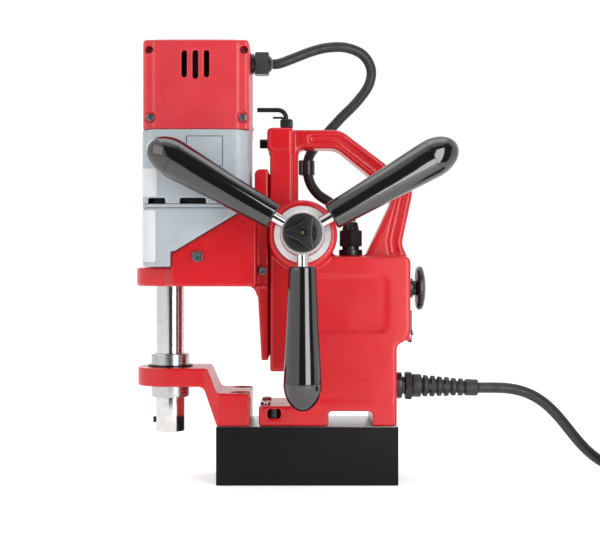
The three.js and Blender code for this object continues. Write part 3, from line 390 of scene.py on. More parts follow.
class Finish:
    """A material's node tree, with its Principled shader and the frame's own coordinates."""

    def __init__(self, name):
        self.name = name
        self.material = bpy.data.materials.new(name)
        self.material.use_nodes = True
        self.tree = self.material.node_tree
        self.shader = self.tree.nodes["Principled BSDF"]
        self.places = self.tree.nodes.new("ShaderNodeTexCoord").outputs["Object"]

    def node(self, kind, inputs=(), **settings):
        return add_node(self.tree, kind, inputs, **settings)

    def link(self, output, socket):
        self.tree.links.new(output, self.shader.inputs[socket])

    def noise(self, size, detail=2.0, stretch=(1, 1, 1), places=None):
        """Noise whose features are about `size` mm across; stretch shortens them along an axis."""
        scaled = self.node(
            "ShaderNodeVectorMath", {0: places or self.places, 1: stretch}, operation="MULTIPLY"
        ).outputs["Vector"]
        return self.node(
            "ShaderNodeTexNoise", {"Vector": scaled, "Scale": 1 / (size * MM), "Detail": detail}
        ).outputs["Fac"]

    def ranged(self, value, source, target):
        """value moved from one range of numbers to another, and held inside it."""
        limits = {"Value": value, "From Min": source[0], "From Max": source[1]}
        limits.update({"To Min": target[0], "To Max": target[1]})
        return self.node("ShaderNodeMapRange", limits).outputs["Result"]

    def blend(self, share, first, second):
        colors = {0: share, 6: (*first, 1), 7: (*second, 1)}
        return self.node("ShaderNodeMix", colors, data_type="RGBA").outputs[2]

    def bump(self, *layers):
        """Stacks (height, millimetres) layers of relief."""
        normal = None
        for height, depth in layers:
            inputs = {"Height": height, "Distance": depth * MM, "Strength": 1.0}
            if normal:
                inputs["Normal"] = normal
            normal = self.node("ShaderNodeBump", inputs).outputs["Normal"]
        self.link(normal, "Normal")

    def drift(self, color, darker, lighter, size, detail):
        """Base colour that wanders between two tints of a colour, over patches about `size` mm across."""
        share = self.ranged(self.noise(size, detail), (0.3, 0.7), (0.0, 1.0))
        self.link(self.blend(share, tinted(color, darker), tinted(color, lighter)), "Base Color")

    def gloss(self, noise, roughness, spread):
        """Roughness that follows a noise, up and down by a share of itself."""
        limits = (roughness * (1 - spread), roughness * (1 + spread))
        self.link(self.ranged(noise, (0.3, 0.7), limits), "Roughness")

    def plain(self, **values):
        """Sets inputs of the shader to single values; their names have _ for a space."""
        for socket, value in values.items():
            self.shader.inputs[socket.replace("_", " ")].default_value = value
        return self


def tinted(color, factor):
    return tuple(min(1.0, c * factor) for c in color)


def painted(name, color, roughness, peel=0.9, peel_depth=0.012, coat=0.0, specular=0.5):
    """Paint on metal: drifts of tone and of gloss, slow waves and orange peel."""
    finish = Finish(name)
    finish.drift(color, 0.94, 1.05, 18.0, 3.0)
    finish.gloss(finish.noise(25.0), roughness, 0.15)
    wave_depth = 0.05
    finish.bump((finish.noise(14.0, 1.0), wave_depth), (finish.noise(peel, 1.0), peel_depth))
    return finish.plain(Coat_Weight=coat, Coat_Roughness=0.12, Specular_IOR_Level=specular)


def moulded(name, color, roughness, grain=0.5, depth=0.01, drift=0.12, specular=0.5):
    """Moulded plastic or rubber with a fine grain and slightly uneven gloss."""
    finish = Finish(name)
    finish.drift(color, 1 - drift, 1 + drift, 11.0, 4.0)
    finish.gloss(finish.noise(7.0, 4.0), roughness, 0.2)
    finish.bump((finish.noise(grain, 2.0), depth))
    return finish.plain(Specular_IOR_Level=specular)


def turned_metal(name, color, roughness, axis, at, groove, depth):
    """Metal off a lathe: fine rings about an axis, drifts of tone, and faint handling marks."""
    finish = Finish(name)
    keep = {"X": (0, 1, 1), "Y": (1, 0, 1), "Z": (1, 1, 0)}[axis]
    centre = tuple(c * MM for c in at)
    offset = finish.node("ShaderNodeVectorMath", {0: finish.places, 1: centre}, operation="SUBTRACT")
    flat = finish.node("ShaderNodeVectorMath", {0: offset.outputs["Vector"], 1: keep}, operation="MULTIPLY")
    radius = finish.node("ShaderNodeVectorMath", {0: flat.outputs["Vector"]}, operation="LENGTH")
    parts = finish.node("ShaderNodeSeparateXYZ", {0: finish.places})
    rings = finish.node("ShaderNodeCombineXYZ", {0: radius.outputs["Value"], 1: parts.outputs[axis]})
    ring_noise = finish.noise(groove, 3.0, places=rings.outputs["Vector"])
    finish.drift(color, 0.9, 1.06, 5.0, 5.0)
    finish.gloss(ring_noise, roughness, 0.35)
    finish.bump((ring_noise, depth))
    return finish.plain(Metallic=1.0)


def ground_metal(name, color, roughness, grain=0.6, depth=0.004):
    """Ground or blackened steel with a faint lay and uneven gloss."""
    finish = Finish(name)
    upright_lay = (1, 1, 0.15)
    marks = finish.noise(grain, 3.0, upright_lay)
    finish.drift(color, 0.86, 1.08, 9.0, 4.0)
    finish.gloss(marks, roughness, 0.25)
    finish.bump((marks, depth))
    return finish.plain(Metallic=1.0)


hub_axis = middle("capstan_hub")
spindle_axis = middle("spindle")

RED = (0.51, 0.006, 0.011)
GREY = (0.36, 0.40, 0.43)

finishes = [
    painted("red_enamel", RED, 0.30, coat=0.12, specular=0.4),
    painted("red_cover", (0.54, 0.030, 0.040), 0.36, peel=0.55, peel_depth=0.014),
    painted("grey_housing", GREY, 0.42, peel=0.6, peel_depth=0.012),
    moulded("grey_plastic", GREY, 0.40, grain=0.45, depth=0.014, drift=0.04),
    painted("magnet_black", (0.006, 0.006, 0.0064), 0.5, peel=0.8, peel_depth=0.02, specular=0.12),
    ground_metal("coil_copper", (0.35, 0.13, 0.06), 0.45),
    moulded("black_plastic", (0.009, 0.009, 0.0095), 0.3),
    moulded("grip_black", (0.005, 0.005, 0.0052), 0.09, grain=1.6, depth=0.002, specular=1.0),
    moulded("black_rubber", (0.011, 0.011, 0.0115), 0.48, grain=0.35, depth=0.014),
    ground_metal("ground_steel", (0.56, 0.56, 0.57), 0.3),
    ground_metal("black_oxide_steel", (0.035, 0.035, 0.037), 0.36),
    ground_metal("grey_screw", (0.2, 0.2, 0.21), 0.34),
    turned_metal("bright_chrome", (0.62, 0.61, 0.60), 0.14, "Z", spindle_axis, 0.5, 0.0012),
    ground_metal("arm_chrome", (0.7, 0.7, 0.71), 0.13, grain=0.8, depth=0.001),
    turned_metal("turned_aluminium", (0.62, 0.61, 0.62), 0.5, "Y", hub_axis, 0.35, 0.006),
    turned_metal("turned_steel", (0.47, 0.47, 0.47), 0.24, "Z", spindle_axis, 0.3, 0.005),
    ground_metal("bearing_bronze", (0.34, 0.24, 0.11), 0.36),
    moulded("board_green", (0.03, 0.16, 0.08), 0.4),
    moulded("blank_label", (0.6, 0.61, 0.62), 0.38, grain=0.9, depth=0.004, drift=0.03),
    moulded("dark_label", (0.02, 0.02, 0.021), 0.3, grain=0.9, depth=0.003),
    # A near-black for painted shade: the ring behind the motor's vents and the sleeve behind the cover slots;
    # also the screen that only reflections see.
    moulded("shade_black", (0.004, 0.004, 0.004), 0.7),
]
materials = {finish.name: finish.material for finish in finishes}


def finish_piece(obj, body, slot, *nodes, material=None):
    """Gives a piece its material, by default the finish named by its slot, hangs it on its body and hides the
    nodes it stands for.
    """
    obj.data.materials.clear()
    obj.data.materials.append(materials[material or slot])
    if nodes:
        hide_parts(*nodes)
    if body:
        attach(obj, body)
    return obj


# ----------------------------------------------------------------------------------------------------
# Camera

camera_data = bpy.data.cameras.new("camera")
camera_data.lens = 68.5
camera_data.sensor_width = 36.0
camera_data.clip_start = 0.05
camera_data.clip_end = 50.0
camera = linked("camera", camera_data)
camera.location = (-0.0065, -1.071, 0.1912)
camera.rotation_euler = (math.pi / 2, 0, 0)
bpy.context.scene.camera = camera


# ----------------------------------------------------------------------------------------------------
# Leads

CORD_RADIUS = 5.0
CORD_ROUTE = [
    (160.8, 0, 84.6), (172, 0, 84.6), (186, 0, 84.2), (200, 0.3, 81.8), (213, 0.8, 76.6), (225, 1.5, 68.4),
    (236, 2.4, 57.6), (246, 3.6, 45.6), (256, 5.2, 33.6), (267, 7.4, 22.6), (280, 10, 13.4), (295, 13, 7.6),
    (312, 15.8, 5.4), (326, 17.3, 5.3),
]
LEAD_RADIUS = 4.75
LEAD_ROUTE = [
    (-32.5, 0, 388), (-26.9, 0, 388.3), (-14.9, 1, 392.7), (4, 4, 400.5), (18.6, 6, 404.5), (37, 9, 405.2),
    (53, 12, 399), (60.9, 15, 386.7), (59.5, 18, 372.4), (48.8, 21.5, 356.8), (31, 24.5, 338.9),
    (13.4, 25, 319), (3, 21, 305), (0.4, 16, 292), (3.4, 12, 277), (10.6, 9, 266.5), (18.9, 6.5, 260.6),
    (30, 3.5, 253), (37.6, 1, 248.6), (41, 0, 244), (41, 0, 240.6),
]


def smoothstep(value):
    """0 to 1 with level ends, for values from 0 to 1."""
    held = min(1.0, max(0.0, value))
    return held * held * (3 - 2 * held)


def coil_points():
    """Three turns in, one diameter apart, a step up, three turns out on top, and a last part turn that climbs
    towards the plug.
    """
    centre = middle("cord_coil")
    outer = high("cord_coil").x - centre.x - CORD_RADIUS
    pitch = 2 * CORD_RADIUS
    arrival = Vector(CORD_ROUTE[-1]) - centre
    first_angle = math.atan2(arrival.y, arrival.x)
    first_radius = math.hypot(arrival.x, arrival.y)
    between, inner = outer - pitch, outer - 2 * pitch
    radii = [first_radius, outer, between, inner, inner, between, outer, outer]
    heights = [CORD_RADIUS + 0.2] * 4 + [3 * CORD_RADIUS] * 3 + [5 * CORD_RADIUS]
    bulge = [0, 0, 0, -CORD_RADIUS, 0, 0, CORD_RADIUS]
    step_share = 0.3
    last_turn = 6.36
    steps_per_turn = 48
    points = []
    for step in range(1, round(last_turn * steps_per_turn) + 1):
        turn = step / steps_per_turn
        index = min(int(turn), 6)
        share = (turn - index) / step_share
        eased = smoothstep(share)
        radius = radii[index] + (radii[index + 1] - radii[index]) * eased
        radius += bulge[index] * math.sin(math.pi * min(1.0, share))
        height = heights[index] + (heights[index + 1] - heights[index]) * eased
        angle = first_angle - 2 * math.pi * turn
        x, y = radius * math.cos(angle), radius * math.sin(angle)
        points.append(Vector((centre.x + x, centre.y + y, height)))
    return points


def cord_path():
    """The open route, the coil, and the tail that comes up into the plug."""
    coil = coil_points()
    plug_back = Vector((high("mains_plug").x - 1.5, middle("mains_plug").y, middle("mains_plug").z))
    tail = catmull([coil[-2], coil[-1], plug_back + Vector((14, -0.6, -0.8)), plug_back], 3.0)[1:]
    return catmull(CORD_ROUTE, 4.0)[:-1] + [Vector(CORD_ROUTE[-1])] + coil + tail


cord_points = cord_path()
mains_cord = tube("mains_lead", cord_points, CORD_RADIUS)
finish_piece(mains_cord, "stand", "black_rubber", "mains_cord", "cord_coil")


def cord_tie(name, turn):
    """A strap round the coil's section at an angle, in degrees."""
    centre = middle("cord_coil")
    inner_radius = 37
    ring_width = (high("cord_coil").x - centre.x - inner_radius) / 2
    section = rectangle((-ring_width - 0.2, ring_width + 0.2), (0.3, 21.4), 5)
    hole = rectangle((-ring_width + 1.2, ring_width - 1.2), (1.5, 20.2), 4)
    strap = plate(name, [section, hole], (-7, 7), "XZ", 0.4)
    place = Matrix.Translation((centre.x * MM, centre.y * MM, 0))
    out = Matrix.Translation(((inner_radius + ring_width) * MM, 0, 0))
    strap.data.transform(place @ Matrix.Rotation(math.radians(turn), 4, "Z") @ out)
    return finish_piece(strap, "stand", "black_plastic")


def mains_plug():
    """A moulded plug with finger ribs and its strain relief, lying on the coil."""
    lowest, highest = low("mains_plug"), high("mains_plug")
    front, back = lowest.x, highest.x
    y = middle("mains_plug").y
    z = middle("mains_plug").z
    plan = rounded([
        (front, y - 14, 3), (front + 12, y - 14, 6), (front + 24, y - 9.5, 8), (back - 10, y - 8, 4),
        (back - 10, y + 8, 4), (front + 24, y + 9.5, 8), (front + 12, y + 14, 6), (front, y + 14, 3),
    ])
    body = plate("plug_body", [plan], (lowest.z, highest.z), "XY", 3.0, 4)
    ribs = []
    for i in range(4):
        for side in (-1, 1):
            x_span = (front + 15 + i * 4, front + 16.6 + i * 4)
            y_span = (y + side * 11 - 2.2, y + side * 11 + 2.2)
            ribs.append(block(f"rib_{i}", x_span, y_span, (lowest.z + 5, highest.z - 5)))
    body = cut(body, *ribs)
    relief = lathe("plug_relief", [
        (0, back - 14), (8.2, back - 14), (8.0, back - 9, 0.6), (6.6, back - 9, 0.4), (6.6, back - 7.6, 0.4),
        (7.4, back - 7.6, 0.6), (7.2, back - 4.6, 0.6), (6.2, back - 4.6, 0.4), (6.2, back - 3.2, 0.4),
        (6.8, back - 3.2, 0.6), (6.6, back, 0.6), (0, back),
    ], "X", (0, y, z), 48)
    piece = cast(joined("mains_plug_body", [body, relief]), 0.7, 3, 0.5)
    return finish_piece(piece, "stand", "black_rubber", "mains_plug")


tie_left = cord_tie("cord_tie_left", 200)
tie_right = cord_tie("cord_tie_rear", 60)
plug_piece = mains_plug()

interconnect_lead = tube_mesh("interconnect_lead", catmull(LEAD_ROUTE, 2.5), LEAD_RADIUS)
finish_piece(interconnect_lead, None, "black_rubber", "interconnect_cable")
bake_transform(interconnect_lead)


# ----------------------------------------------------------------------------------------------------
# Floor and light

def studio():
    """A wide, round, pale floor."""
    bm = bmesh.new()
    bmesh.ops.create_circle(bm, cap_ends=True, segments=96, radius=12.0)
    floor = from_bmesh("floor", bm, 60)
    paper = Finish("floor_paper")
    tone = paper.ranged(paper.noise(300.0), (0.3, 0.7), (0.0, 1.0))
    paper.link(paper.blend(tone, (0.80, 0.80, 0.80), (0.82, 0.82, 0.82)), "Base Color")
    paper.plain(Roughness=0.95, Specular_IOR_Level=0.0, Emission_Color=(1, 1, 1, 1), Emission_Strength=0.4)
    floor.data.materials.append(paper.material)


def dark_screen():
    """A black screen ahead and to the right, seen only in reflections, so that black parts look deep."""
    radius, height = 0.65, 0.36
    first_azimuth, sweep, steps = -17, 84, 24
    bm = bmesh.new()
    edges = []
    for step in range(steps + 1):
        azimuth = math.radians(first_azimuth + sweep * step / steps)
        x, y = radius * math.sin(azimuth), -radius * math.cos(azimuth)
        edges.append([bm.verts.new((x, y, z)) for z in (0.002, height)])
    for near, far in zip(edges, edges[1:]):
        bm.faces.new((near[0], far[0], far[1], near[1]))
    screen = from_bmesh("dark_screen", bm)
    screen.data.materials.append(materials["shade_black"])
    screen.visible_camera = False
    screen.visible_diffuse = False
    screen.visible_shadow = False


def softbox(name, place, target, size, power):
    """A rectangular lamp that the camera doesn't see, aimed from a place at a target, both in metres."""
    light = bpy.data.lights.new(name, "AREA")
    light.shape = "RECTANGLE"
    light.size, light.size_y = size
    light.energy = power
    lamp = linked(name, light)
    lamp.location = place
    lamp.rotation_euler = (Vector(target) - Vector(place)).to_track_quat("-Z", "Y").to_euler()
    lamp.visible_camera = False


WORLD_GAP = [
    ("X", (-0.42, -0.30), (0.0, 1.0)),
    ("X", (0.88, 0.98), (1.0, 0.0)),
    ("Y", (-0.25, -0.05), (1.0, 0.0)),
    ("Z", (0.75, 0.95), (1.0, 0.0)),
]


def surround():
    """A white room, but for a dark gap ahead and to the right; the camera itself sees plain white."""
    world = bpy.data.worlds.new("surround")
    world.use_nodes = True
    bpy.context.scene.world = world
    tree = world.node_tree
    direction = add_node(tree, "ShaderNodeTexCoord").outputs["Generated"]
    parts = add_node(tree, "ShaderNodeSeparateXYZ", {0: direction}).outputs
    darkness = 1.0
    for axis, source, target in WORLD_GAP:
        limits = {"Value": parts[axis], "From Min": source[0], "From Max": source[1]}
        limits.update({"To Min": target[0], "To Max": target[1]})
        gate = add_node(tree, "ShaderNodeMapRange", limits, interpolation_type="SMOOTHSTEP").outputs["Result"]
        darkness = add_node(tree, "ShaderNodeMath", {0: darkness, 1: gate}, operation="MULTIPLY").outputs[0]
    tones = {0: darkness, 6: (1, 1, 1, 1), 7: (0.05, 0.05, 0.05, 1)}
    tone = add_node(tree, "ShaderNodeMix", tones, data_type="RGBA").outputs[2]
    room = add_node(tree, "ShaderNodeBackground", {"Color": tone, "Strength": 1.0}).outputs[0]
    white = add_node(tree, "ShaderNodeBackground", {"Color": (1, 1, 1, 1), "Strength": 1.05}).outputs[0]
    seen = add_node(tree, "ShaderNodeLightPath").outputs["Is Camera Ray"]
    choice = add_node(tree, "ShaderNodeMixShader", {"Fac": seen, 1: room, 2: white})
    tree.links.new(choice.outputs[0], tree.nodes["World Output"].inputs["Surface"])


studio()
dark_screen()
surround()
aim = (0.0, -0.05, 0.2)
softbox("right_strip", (0.28, -0.52, 0.34), (0.02, -0.05, 0.34), (0.27, 0.64), 3.1)
softbox("left_key", (-1.3, -0.9, 0.9), aim, (1.2, 1.2), 5.5)
softbox("top_light", (0.0, 0.1, 1.6), aim, (1.4, 0.8), 5.0)
softbox("rear_light", (-0.8, 1.6, 1.0), aim, (1.0, 1.0), 5.0)
bpy.context.scene.view_settings.view_transform = "Standard"


# ----------------------------------------------------------------------------------------------------
# Fasteners

def socket_head(name, radius, height, socket, axis, at, shank=0.0, shank_length=0.0):
    """A cap screw's head with its seat at `at`, a rounded rim and a hexagon socket."""
    profile = [(0, -shank_length), (shank, -shank_length), (shank, 0)] if shank else [(0, 0)]
    profile += [(radius, 0, 0.3), (radius, height, 0.6), (0, height)]
    head = lathe(name, profile, "Z", (0, 0, 0), 48)
    key = plate("key", [polygon(6, socket)], (height * 0.4, height + 2), "XY", 0.05, 1)
    return move(cut(head, key), at, AXES[axis].to_4x4())


def cross_head(name, radius, height, axis, at):
    """A low pan head with a cross recess."""
    head = lathe(name, [(0, 0), (radius, 0, 0.2), (radius, height * 0.7, height * 0.4), (0, height)], "Z")
    arm, depth = radius * 0.62, height - 0.8
    slots = [
        block("slot_a", (-arm, arm), (-0.55, 0.55), (depth, height + 1)),
        block("slot_b", (-0.55, 0.55), (-arm, arm), (depth, height + 1)),
    ]
    return move(cut(head, *slots), at, AXES[axis].to_4x4())


# ----------------------------------------------------------------------------------------------------
# Magnet and lower bracket

spindle_x = middle("guide_bushing").x


def magnet():
    """The steel block with the ring groove of its underside, and a light grey sheet on its top, a painted
    reflection of the white surroundings.
    """
    lowest, highest = low("magnet_body"), high("magnet_body")
    span_x, span_y = (lowest.x, highest.x), (lowest.y, highest.y)
    body = plate("magnet_block", [rectangle(span_x, span_y, 2)], (lowest.z, highest.z), "XY", 0.9)
    groove = plate(
        "groove",
        [rectangle((-66.5, 66.5), (-32, 32), 4), rectangle((-50.5, 50.5), (-18, 18), 2)],
        (lowest.z - 5, high("magnet_coil").z + 0.3),
        "XY",
        0.1,
    )
    finish_piece(cut(body, groove), "stand", "magnet_black", "magnet_body")
    # A thin light grey metal sheet over the black top: a painted reflection of the white surroundings seen at
    # a grazing angle.
    inset = 1.0
    top = [rectangle((span_x[0] + inset, span_x[1] - inset), (span_y[0] + inset, span_y[1] - inset), 1.5)]
    top_sheen = plate("magnet_top_sheen", top, (highest.z - 0.2, highest.z + 0.22), "XY", 0.05, 1)
    finish_piece(top_sheen, "stand", "ground_steel")


def lower_bracket():
    """The guide bracket: its side view kept inside its plan, with the eye and the bolt seats."""
    lowest, highest = low("lower_bracket"), high("lower_bracket")
    reach = highest.y
    nose = spindle_x - lowest.x
    side = rounded([
        (lowest.x - 1, 88), (-95, 88, 6), (-82, lowest.z), (highest.x, lowest.z), (highest.x, 83, 1.5),
        (-82, 83, 4), (-91, highest.z, 4), (lowest.x - 1, highest.z),
    ])
    plan = rounded([
        (lowest.x, -nose, nose - 0.1), (-93, -nose, 6), (-81, -reach, 4), (highest.x, -reach, 1.5),
        (highest.x, reach, 1.5), (-81, reach, 4), (-93, nose, 6), (lowest.x, nose, nose - 0.1),
    ], 24)
    whole = plate("bracket_side", [side], (-reach - 1, reach + 1), "XZ", 0.2)
    whole = boolean(whole, "INTERSECT", plate("bracket_plan", [plan], (50, 110), "XY", 0.2))
    holes = [cylinder("eye", high("guide_bushing").x - spindle_x + 0.1, (60, 120), at=(spindle_x, 0, 0))]
    bolt_x, bolt_rows = -61, {"near": -25, "far": 25}
    for y in bolt_rows.values():
        holes.append(cylinder("seat", 8.8, (73.2, 90), at=(bolt_x, y, 0)))
    finish_piece(cast(cut(whole, *holes), 0.85, 5), "stand", "red_enamel", "lower_bracket")
    for row, y in bolt_rows.items():
        bolt = socket_head(f"bracket_bolt_{row}", 8.0, 8.5, 7.0, "Z", (bolt_x, y, 73.5))
        finish_piece(bolt, "stand", "black_oxide_steel", *(["bracket_bolt_front"] if row == "near" else []))


def guide():
    """The bushing in the bracket's eye and the ring that holds it."""
    inner, outer = 14.3, high("guide_bushing").x - spindle_x
    bottom, top = low("guide_bushing").z, high("guide_bushing").z
    bush = lathe("bushing", [
        (inner, bottom, 0.6), (outer, bottom, 1.0), (outer, top, 1.4), (inner, top, 0.8),
    ], at=(spindle_x, 0, 0))
    finish_piece(bush, "stand", "ground_steel", "guide_bushing", material="turned_steel")
    bottom, top = low("retaining_ring").z, high("retaining_ring").z
    ring = lathe("circlip", [
        (outer + 0.2, bottom, 0.2), (high("retaining_ring").x - spindle_x, bottom, 0.4),
        (high("retaining_ring").x - spindle_x, top, 0.4), (outer + 0.2, top, 0.2),
    ], at=(spindle_x, 0, 0))
    finish_piece(ring, "stand", "black_oxide_steel", "retaining_ring")


# ----------------------------------------------------------------------------------------------------
# Stand casting

ARCH = [(-20, 150), (94, 150), (94, 205), (88, 219, 12), (99.5, 273, 16), (31, 325, 22), (-20, 325)]
ARCH_WINDOW = [
    (-8, 307.5, 5), (27, 307.5, 18), (80.5, 264, 13), (54.5, 208.6, 4), (24, 208.6, 3), (24, 235), (-8, 255),
]
ARCH_GROOVE = [
    (2, 319.2, 3), (29.5, 319.2, 17), (92.6, 271.3, 10), (82.3, 221, 12), (85, 210, 2), (77, 209, 2),
    (75, 222, 12), (85.3, 267, 5), (26.3, 312.4, 12), (2, 312.4, 3),
]
HOUSING = [(-14, 75.3), (81.5, 75.3), (81.5, 129, 6), (94, 129, 11), (94, 207, 5), (-14, 207, 3)]
POCKET = [
    (-36, 60.2, 2), (-24, 60.2, 2), (-24, 68.4, 3), (-27.5, 69.4, 1.4), (-30, 68.0, 1.2), (-32.5, 69.4, 1.4),
    (-36, 68.4, 3),
]


def stand():
    """The casting: base, switch housing, column and handle melted into one, with its channel and panels."""
    lowest, highest = low("stand_casting"), high("stand_casting")
    hub = middle("capstan_hub")
    foot_top, base_top, housing_half = 71.4, 76.3, 37.0
    parts = [
        plate("foot", [rectangle((lowest.x, 81.5), (-38, 38), 3)], (lowest.z, foot_top), "XY", 1.2),
        plate("base", [rectangle((-14, 81.5), (-38, 38), 3)], (lowest.z + 5, base_top), "XY", 1.2),
        plate("housing", [rounded(HOUSING)], (-housing_half, housing_half), "XZ", 2.6, 4),
        plate("column", [rectangle((-34, -13), (-30, 30), 2.5)], (102, highest.z), "XY", 1.5),
        block("stop_block", (-36.6, -12.5), (-31, 31), (303, highest.z), 3.6),
        plate("arch", [rounded(ARCH, 14), rounded(ARCH_WINDOW, 14)], (-15, 15), "XZ", 3.6, 5),
        lathe("boss", [(0, lowest.y), (31.5, lowest.y, 4.5), (31.5, highest.y, 4.5), (0, highest.y)], "Y",
              (hub.x, 0, hub.z)),
    ]
    channel = [(-39, -9.4), (-21.5, -19.5), (-21.5, 23.1), (-39, 13.0)]
    cuts = [
        cutter("channel", rounded(channel), (90, 306), "XY"),
        block("rack_groove", (-23, -12.3), (-9, 9), (90, 306)),
        cylinder("bore", 12.5, (-50, 50), "Y", (hub.x, 0, hub.z)),
        cutter("strap", rectangle((19.4, 59.4), (40, 66.7), 2.5), (-60, 60)),
        block("boss_flat", (-60, -33.8), (-46, -30.2), (190, 262)),
        *twin_cutters("panel", rectangle((-6, 73), (138, 190), 8), housing_half - 1.9, 40),
        *twin_cutters("arch_groove", rounded(ARCH_GROOVE, 10), 12.6, 20),
        cutter("switch_side", rectangle((-33.2, 33.2), (130, 201), 4), (90, 100), "YZ"),
        cutter("pocket", rounded(POCKET), (-50, -24)),
    ]
    casting = cast(cut(joined("casting", parts), *cuts), 0.9, 14, 0.35)
    finish_piece(casting, "stand", "red_enamel", "stand_casting")
    shank = cylinder("pocket_screw", 4.6, (60.6, 68.6), "Z", (-30, -30.5, 0))
    finish_piece(shank, "stand", "black_oxide_steel")


magnet()
lower_bracket()
guide()
stand()


# ----------------------------------------------------------------------------------------------------
# Carriage

def carriage():
    """The slide plate with its dovetail, the arm over the spindle, two cheeks and their screws."""
    lowest, highest = low("carriage"), high("carriage")
    plate_front, plate_back, plate_half = -48.0, -35.4, 30.0
    arm_bottom, arm_top = 180.0, 197.5
    cheek_left, cheek_half, cheek_wall = -122.8, highest.y, 4.0
    nose = spindle_x - lowest.x
    side = rounded([
        (plate_back, lowest.z, 1), (plate_back, highest.z, 1), (plate_front, highest.z, 5),
        (plate_front, 190), (-45.6, 182), (-41.8, lowest.z, 1),
    ])
    arm = rounded([
        (lowest.x, -nose, nose - 0.1), (cheek_left - 8, -nose, 8), (cheek_left + 3, -cheek_half, 6),
        (plate_front + 2, -cheek_half, 2), (plate_front + 2, cheek_half, 2), (cheek_left + 3, cheek_half, 6),
        (cheek_left - 8, nose, 8), (lowest.x, nose, nose - 0.1),
    ], 24)
    cheek = rounded([
        (cheek_left, arm_bottom, 3), (plate_front + 2, arm_bottom, 3), (plate_front + 2, 254.3, 3),
        (plate_front, 254.3, 3), (-119.2, 211.4, 4), (cheek_left, 211.4, 2),
    ])
    fillet = rounded([
        (-55, arm_bottom + 1), (-43, arm_bottom + 1), (-43, 168), (-46.2, 172, 6), (-48, 177.5, 6),
    ])
    inner = cheek_half - cheek_wall
    tail = [(plate_back - 2, -13.4), (-21.8, -19.0), (-21.8, 19.0), (plate_back - 2, 13.4)]
    parts = [
        plate("slide_plate", [side], (-plate_half, plate_half), "XZ", 1.4, 3),
        plate("arm", [arm], (arm_bottom, arm_top), "XY", 1.8, 3),
        plate("cheek_front", [cheek], (-cheek_half, -inner), "XZ", 1.2),
        plate("cheek_rear", [cheek], (inner, cheek_half), "XZ", 1.2),
        plate("arm_fillet", [fillet], (-plate_half + 1, plate_half - 1), "XZ", 0.2),
        block("web", (plate_front - 3, plate_front + 2), (-inner - 1, inner + 1), (arm_bottom, 253.3)),
        plate("dovetail", [rounded(tail)], (116.3, 283), "XY", 0.3, 1),
    ]
    bearing = cylinder("bearing_seat", 20.3, (170, 200), at=(spindle_x, 0, 0))
    casting = cast(cut(joined("carriage_casting", parts), bearing), 0.9, 6, 0.45)
    finish_piece(casting, "carriage", "red_enamel", "carriage")
    head_height = 4.0
    for name, node, radius, ends in (
        ("clamp_screw_head", "motor_clamp_screw", 5.0, ("front", "rear")),
        ("lock_screw_head", "slide_lock_screw", 4.0, ("front",)),
    ):
        place = middle(node)
        for end in ends:
            axis, side = ("-Y", -1) if end == "front" else ("Y", 1)
            seat = (place.x, side * (-low(node).y - head_height), place.z)
            head = socket_head(f"{name}_{end}", radius, head_height, radius * 0.85, axis, seat)
            nodes = [node] if end == "front" else []
            finish_piece(head, "carriage", "black_oxide_steel", *nodes, material="grey_screw")


# ----------------------------------------------------------------------------------------------------
# Gear case and motor

def unit_plan(inset=0.0):
    """The plan of the motor body and gear case: large corners and slightly swollen front and rear."""
    lowest, highest = low("motor_body"), high("motor_body")
    across, along = (lowest.x + inset, highest.x - inset), (lowest.y + inset, highest.y - inset)
    corner, bow = 14.0, 1.3
    return bowed(across, along, corner - inset, bow)


def skin(name, node, region):
    """A thin sheet wrapped on the unit's outside, over the part of it in front of a region's outlines."""
    sheet = plate(name, [unit_plan(-0.2), unit_plan(0.7)], (low(node).z, high(node).z), "XY", 0.05, 1)
    return boolean(sheet, "INTERSECT", plate("region", region, (-60, -20), "XZ", 0.02, 1))


def gear_case():
    """The case under the motor, with its flange, the room for the carriage's cheeks and a blank label."""
    lowest, highest = low("gear_case"), high("gear_case")
    narrow = 37.6
    case = joined("case", [
        plate("case_body", [unit_plan(0.4)], (lowest.z, highest.z - 3.4), "XY", 0.8, 2),
        plate("case_core", [unit_plan(3.0)], (lowest.z + 5, highest.z - 1), "XY", 0.2, 1),
    ])
    beside = rounded([(-123.1, 150), (-30, 150), (-30, 259), (-48, 254.9), (-119.3, 211.9), (-123.1, 211.9)])
    cuts = [
        *twin_cutters("beside", beside, narrow, 60),
        block("beside_plate", (-51.4, 0), (-60, 60), (190, highest.z + 1)),
    ]
    finish_piece(cast(cut(case, *cuts), 0.8, 4, 0.4), "carriage", "grey_housing", "gear_case")
    flange = plate("case_flange", [unit_plan()], (highest.z - 3.0, highest.z), "XY", 0.5)
    finish_piece(flange, "carriage", "grey_housing")
    label = skin("case_label", "gear_case", [rectangle((-160, -136), (202, 248.5), 1.5)])
    finish_piece(label, "carriage", "grey_plastic", material="blank_label")


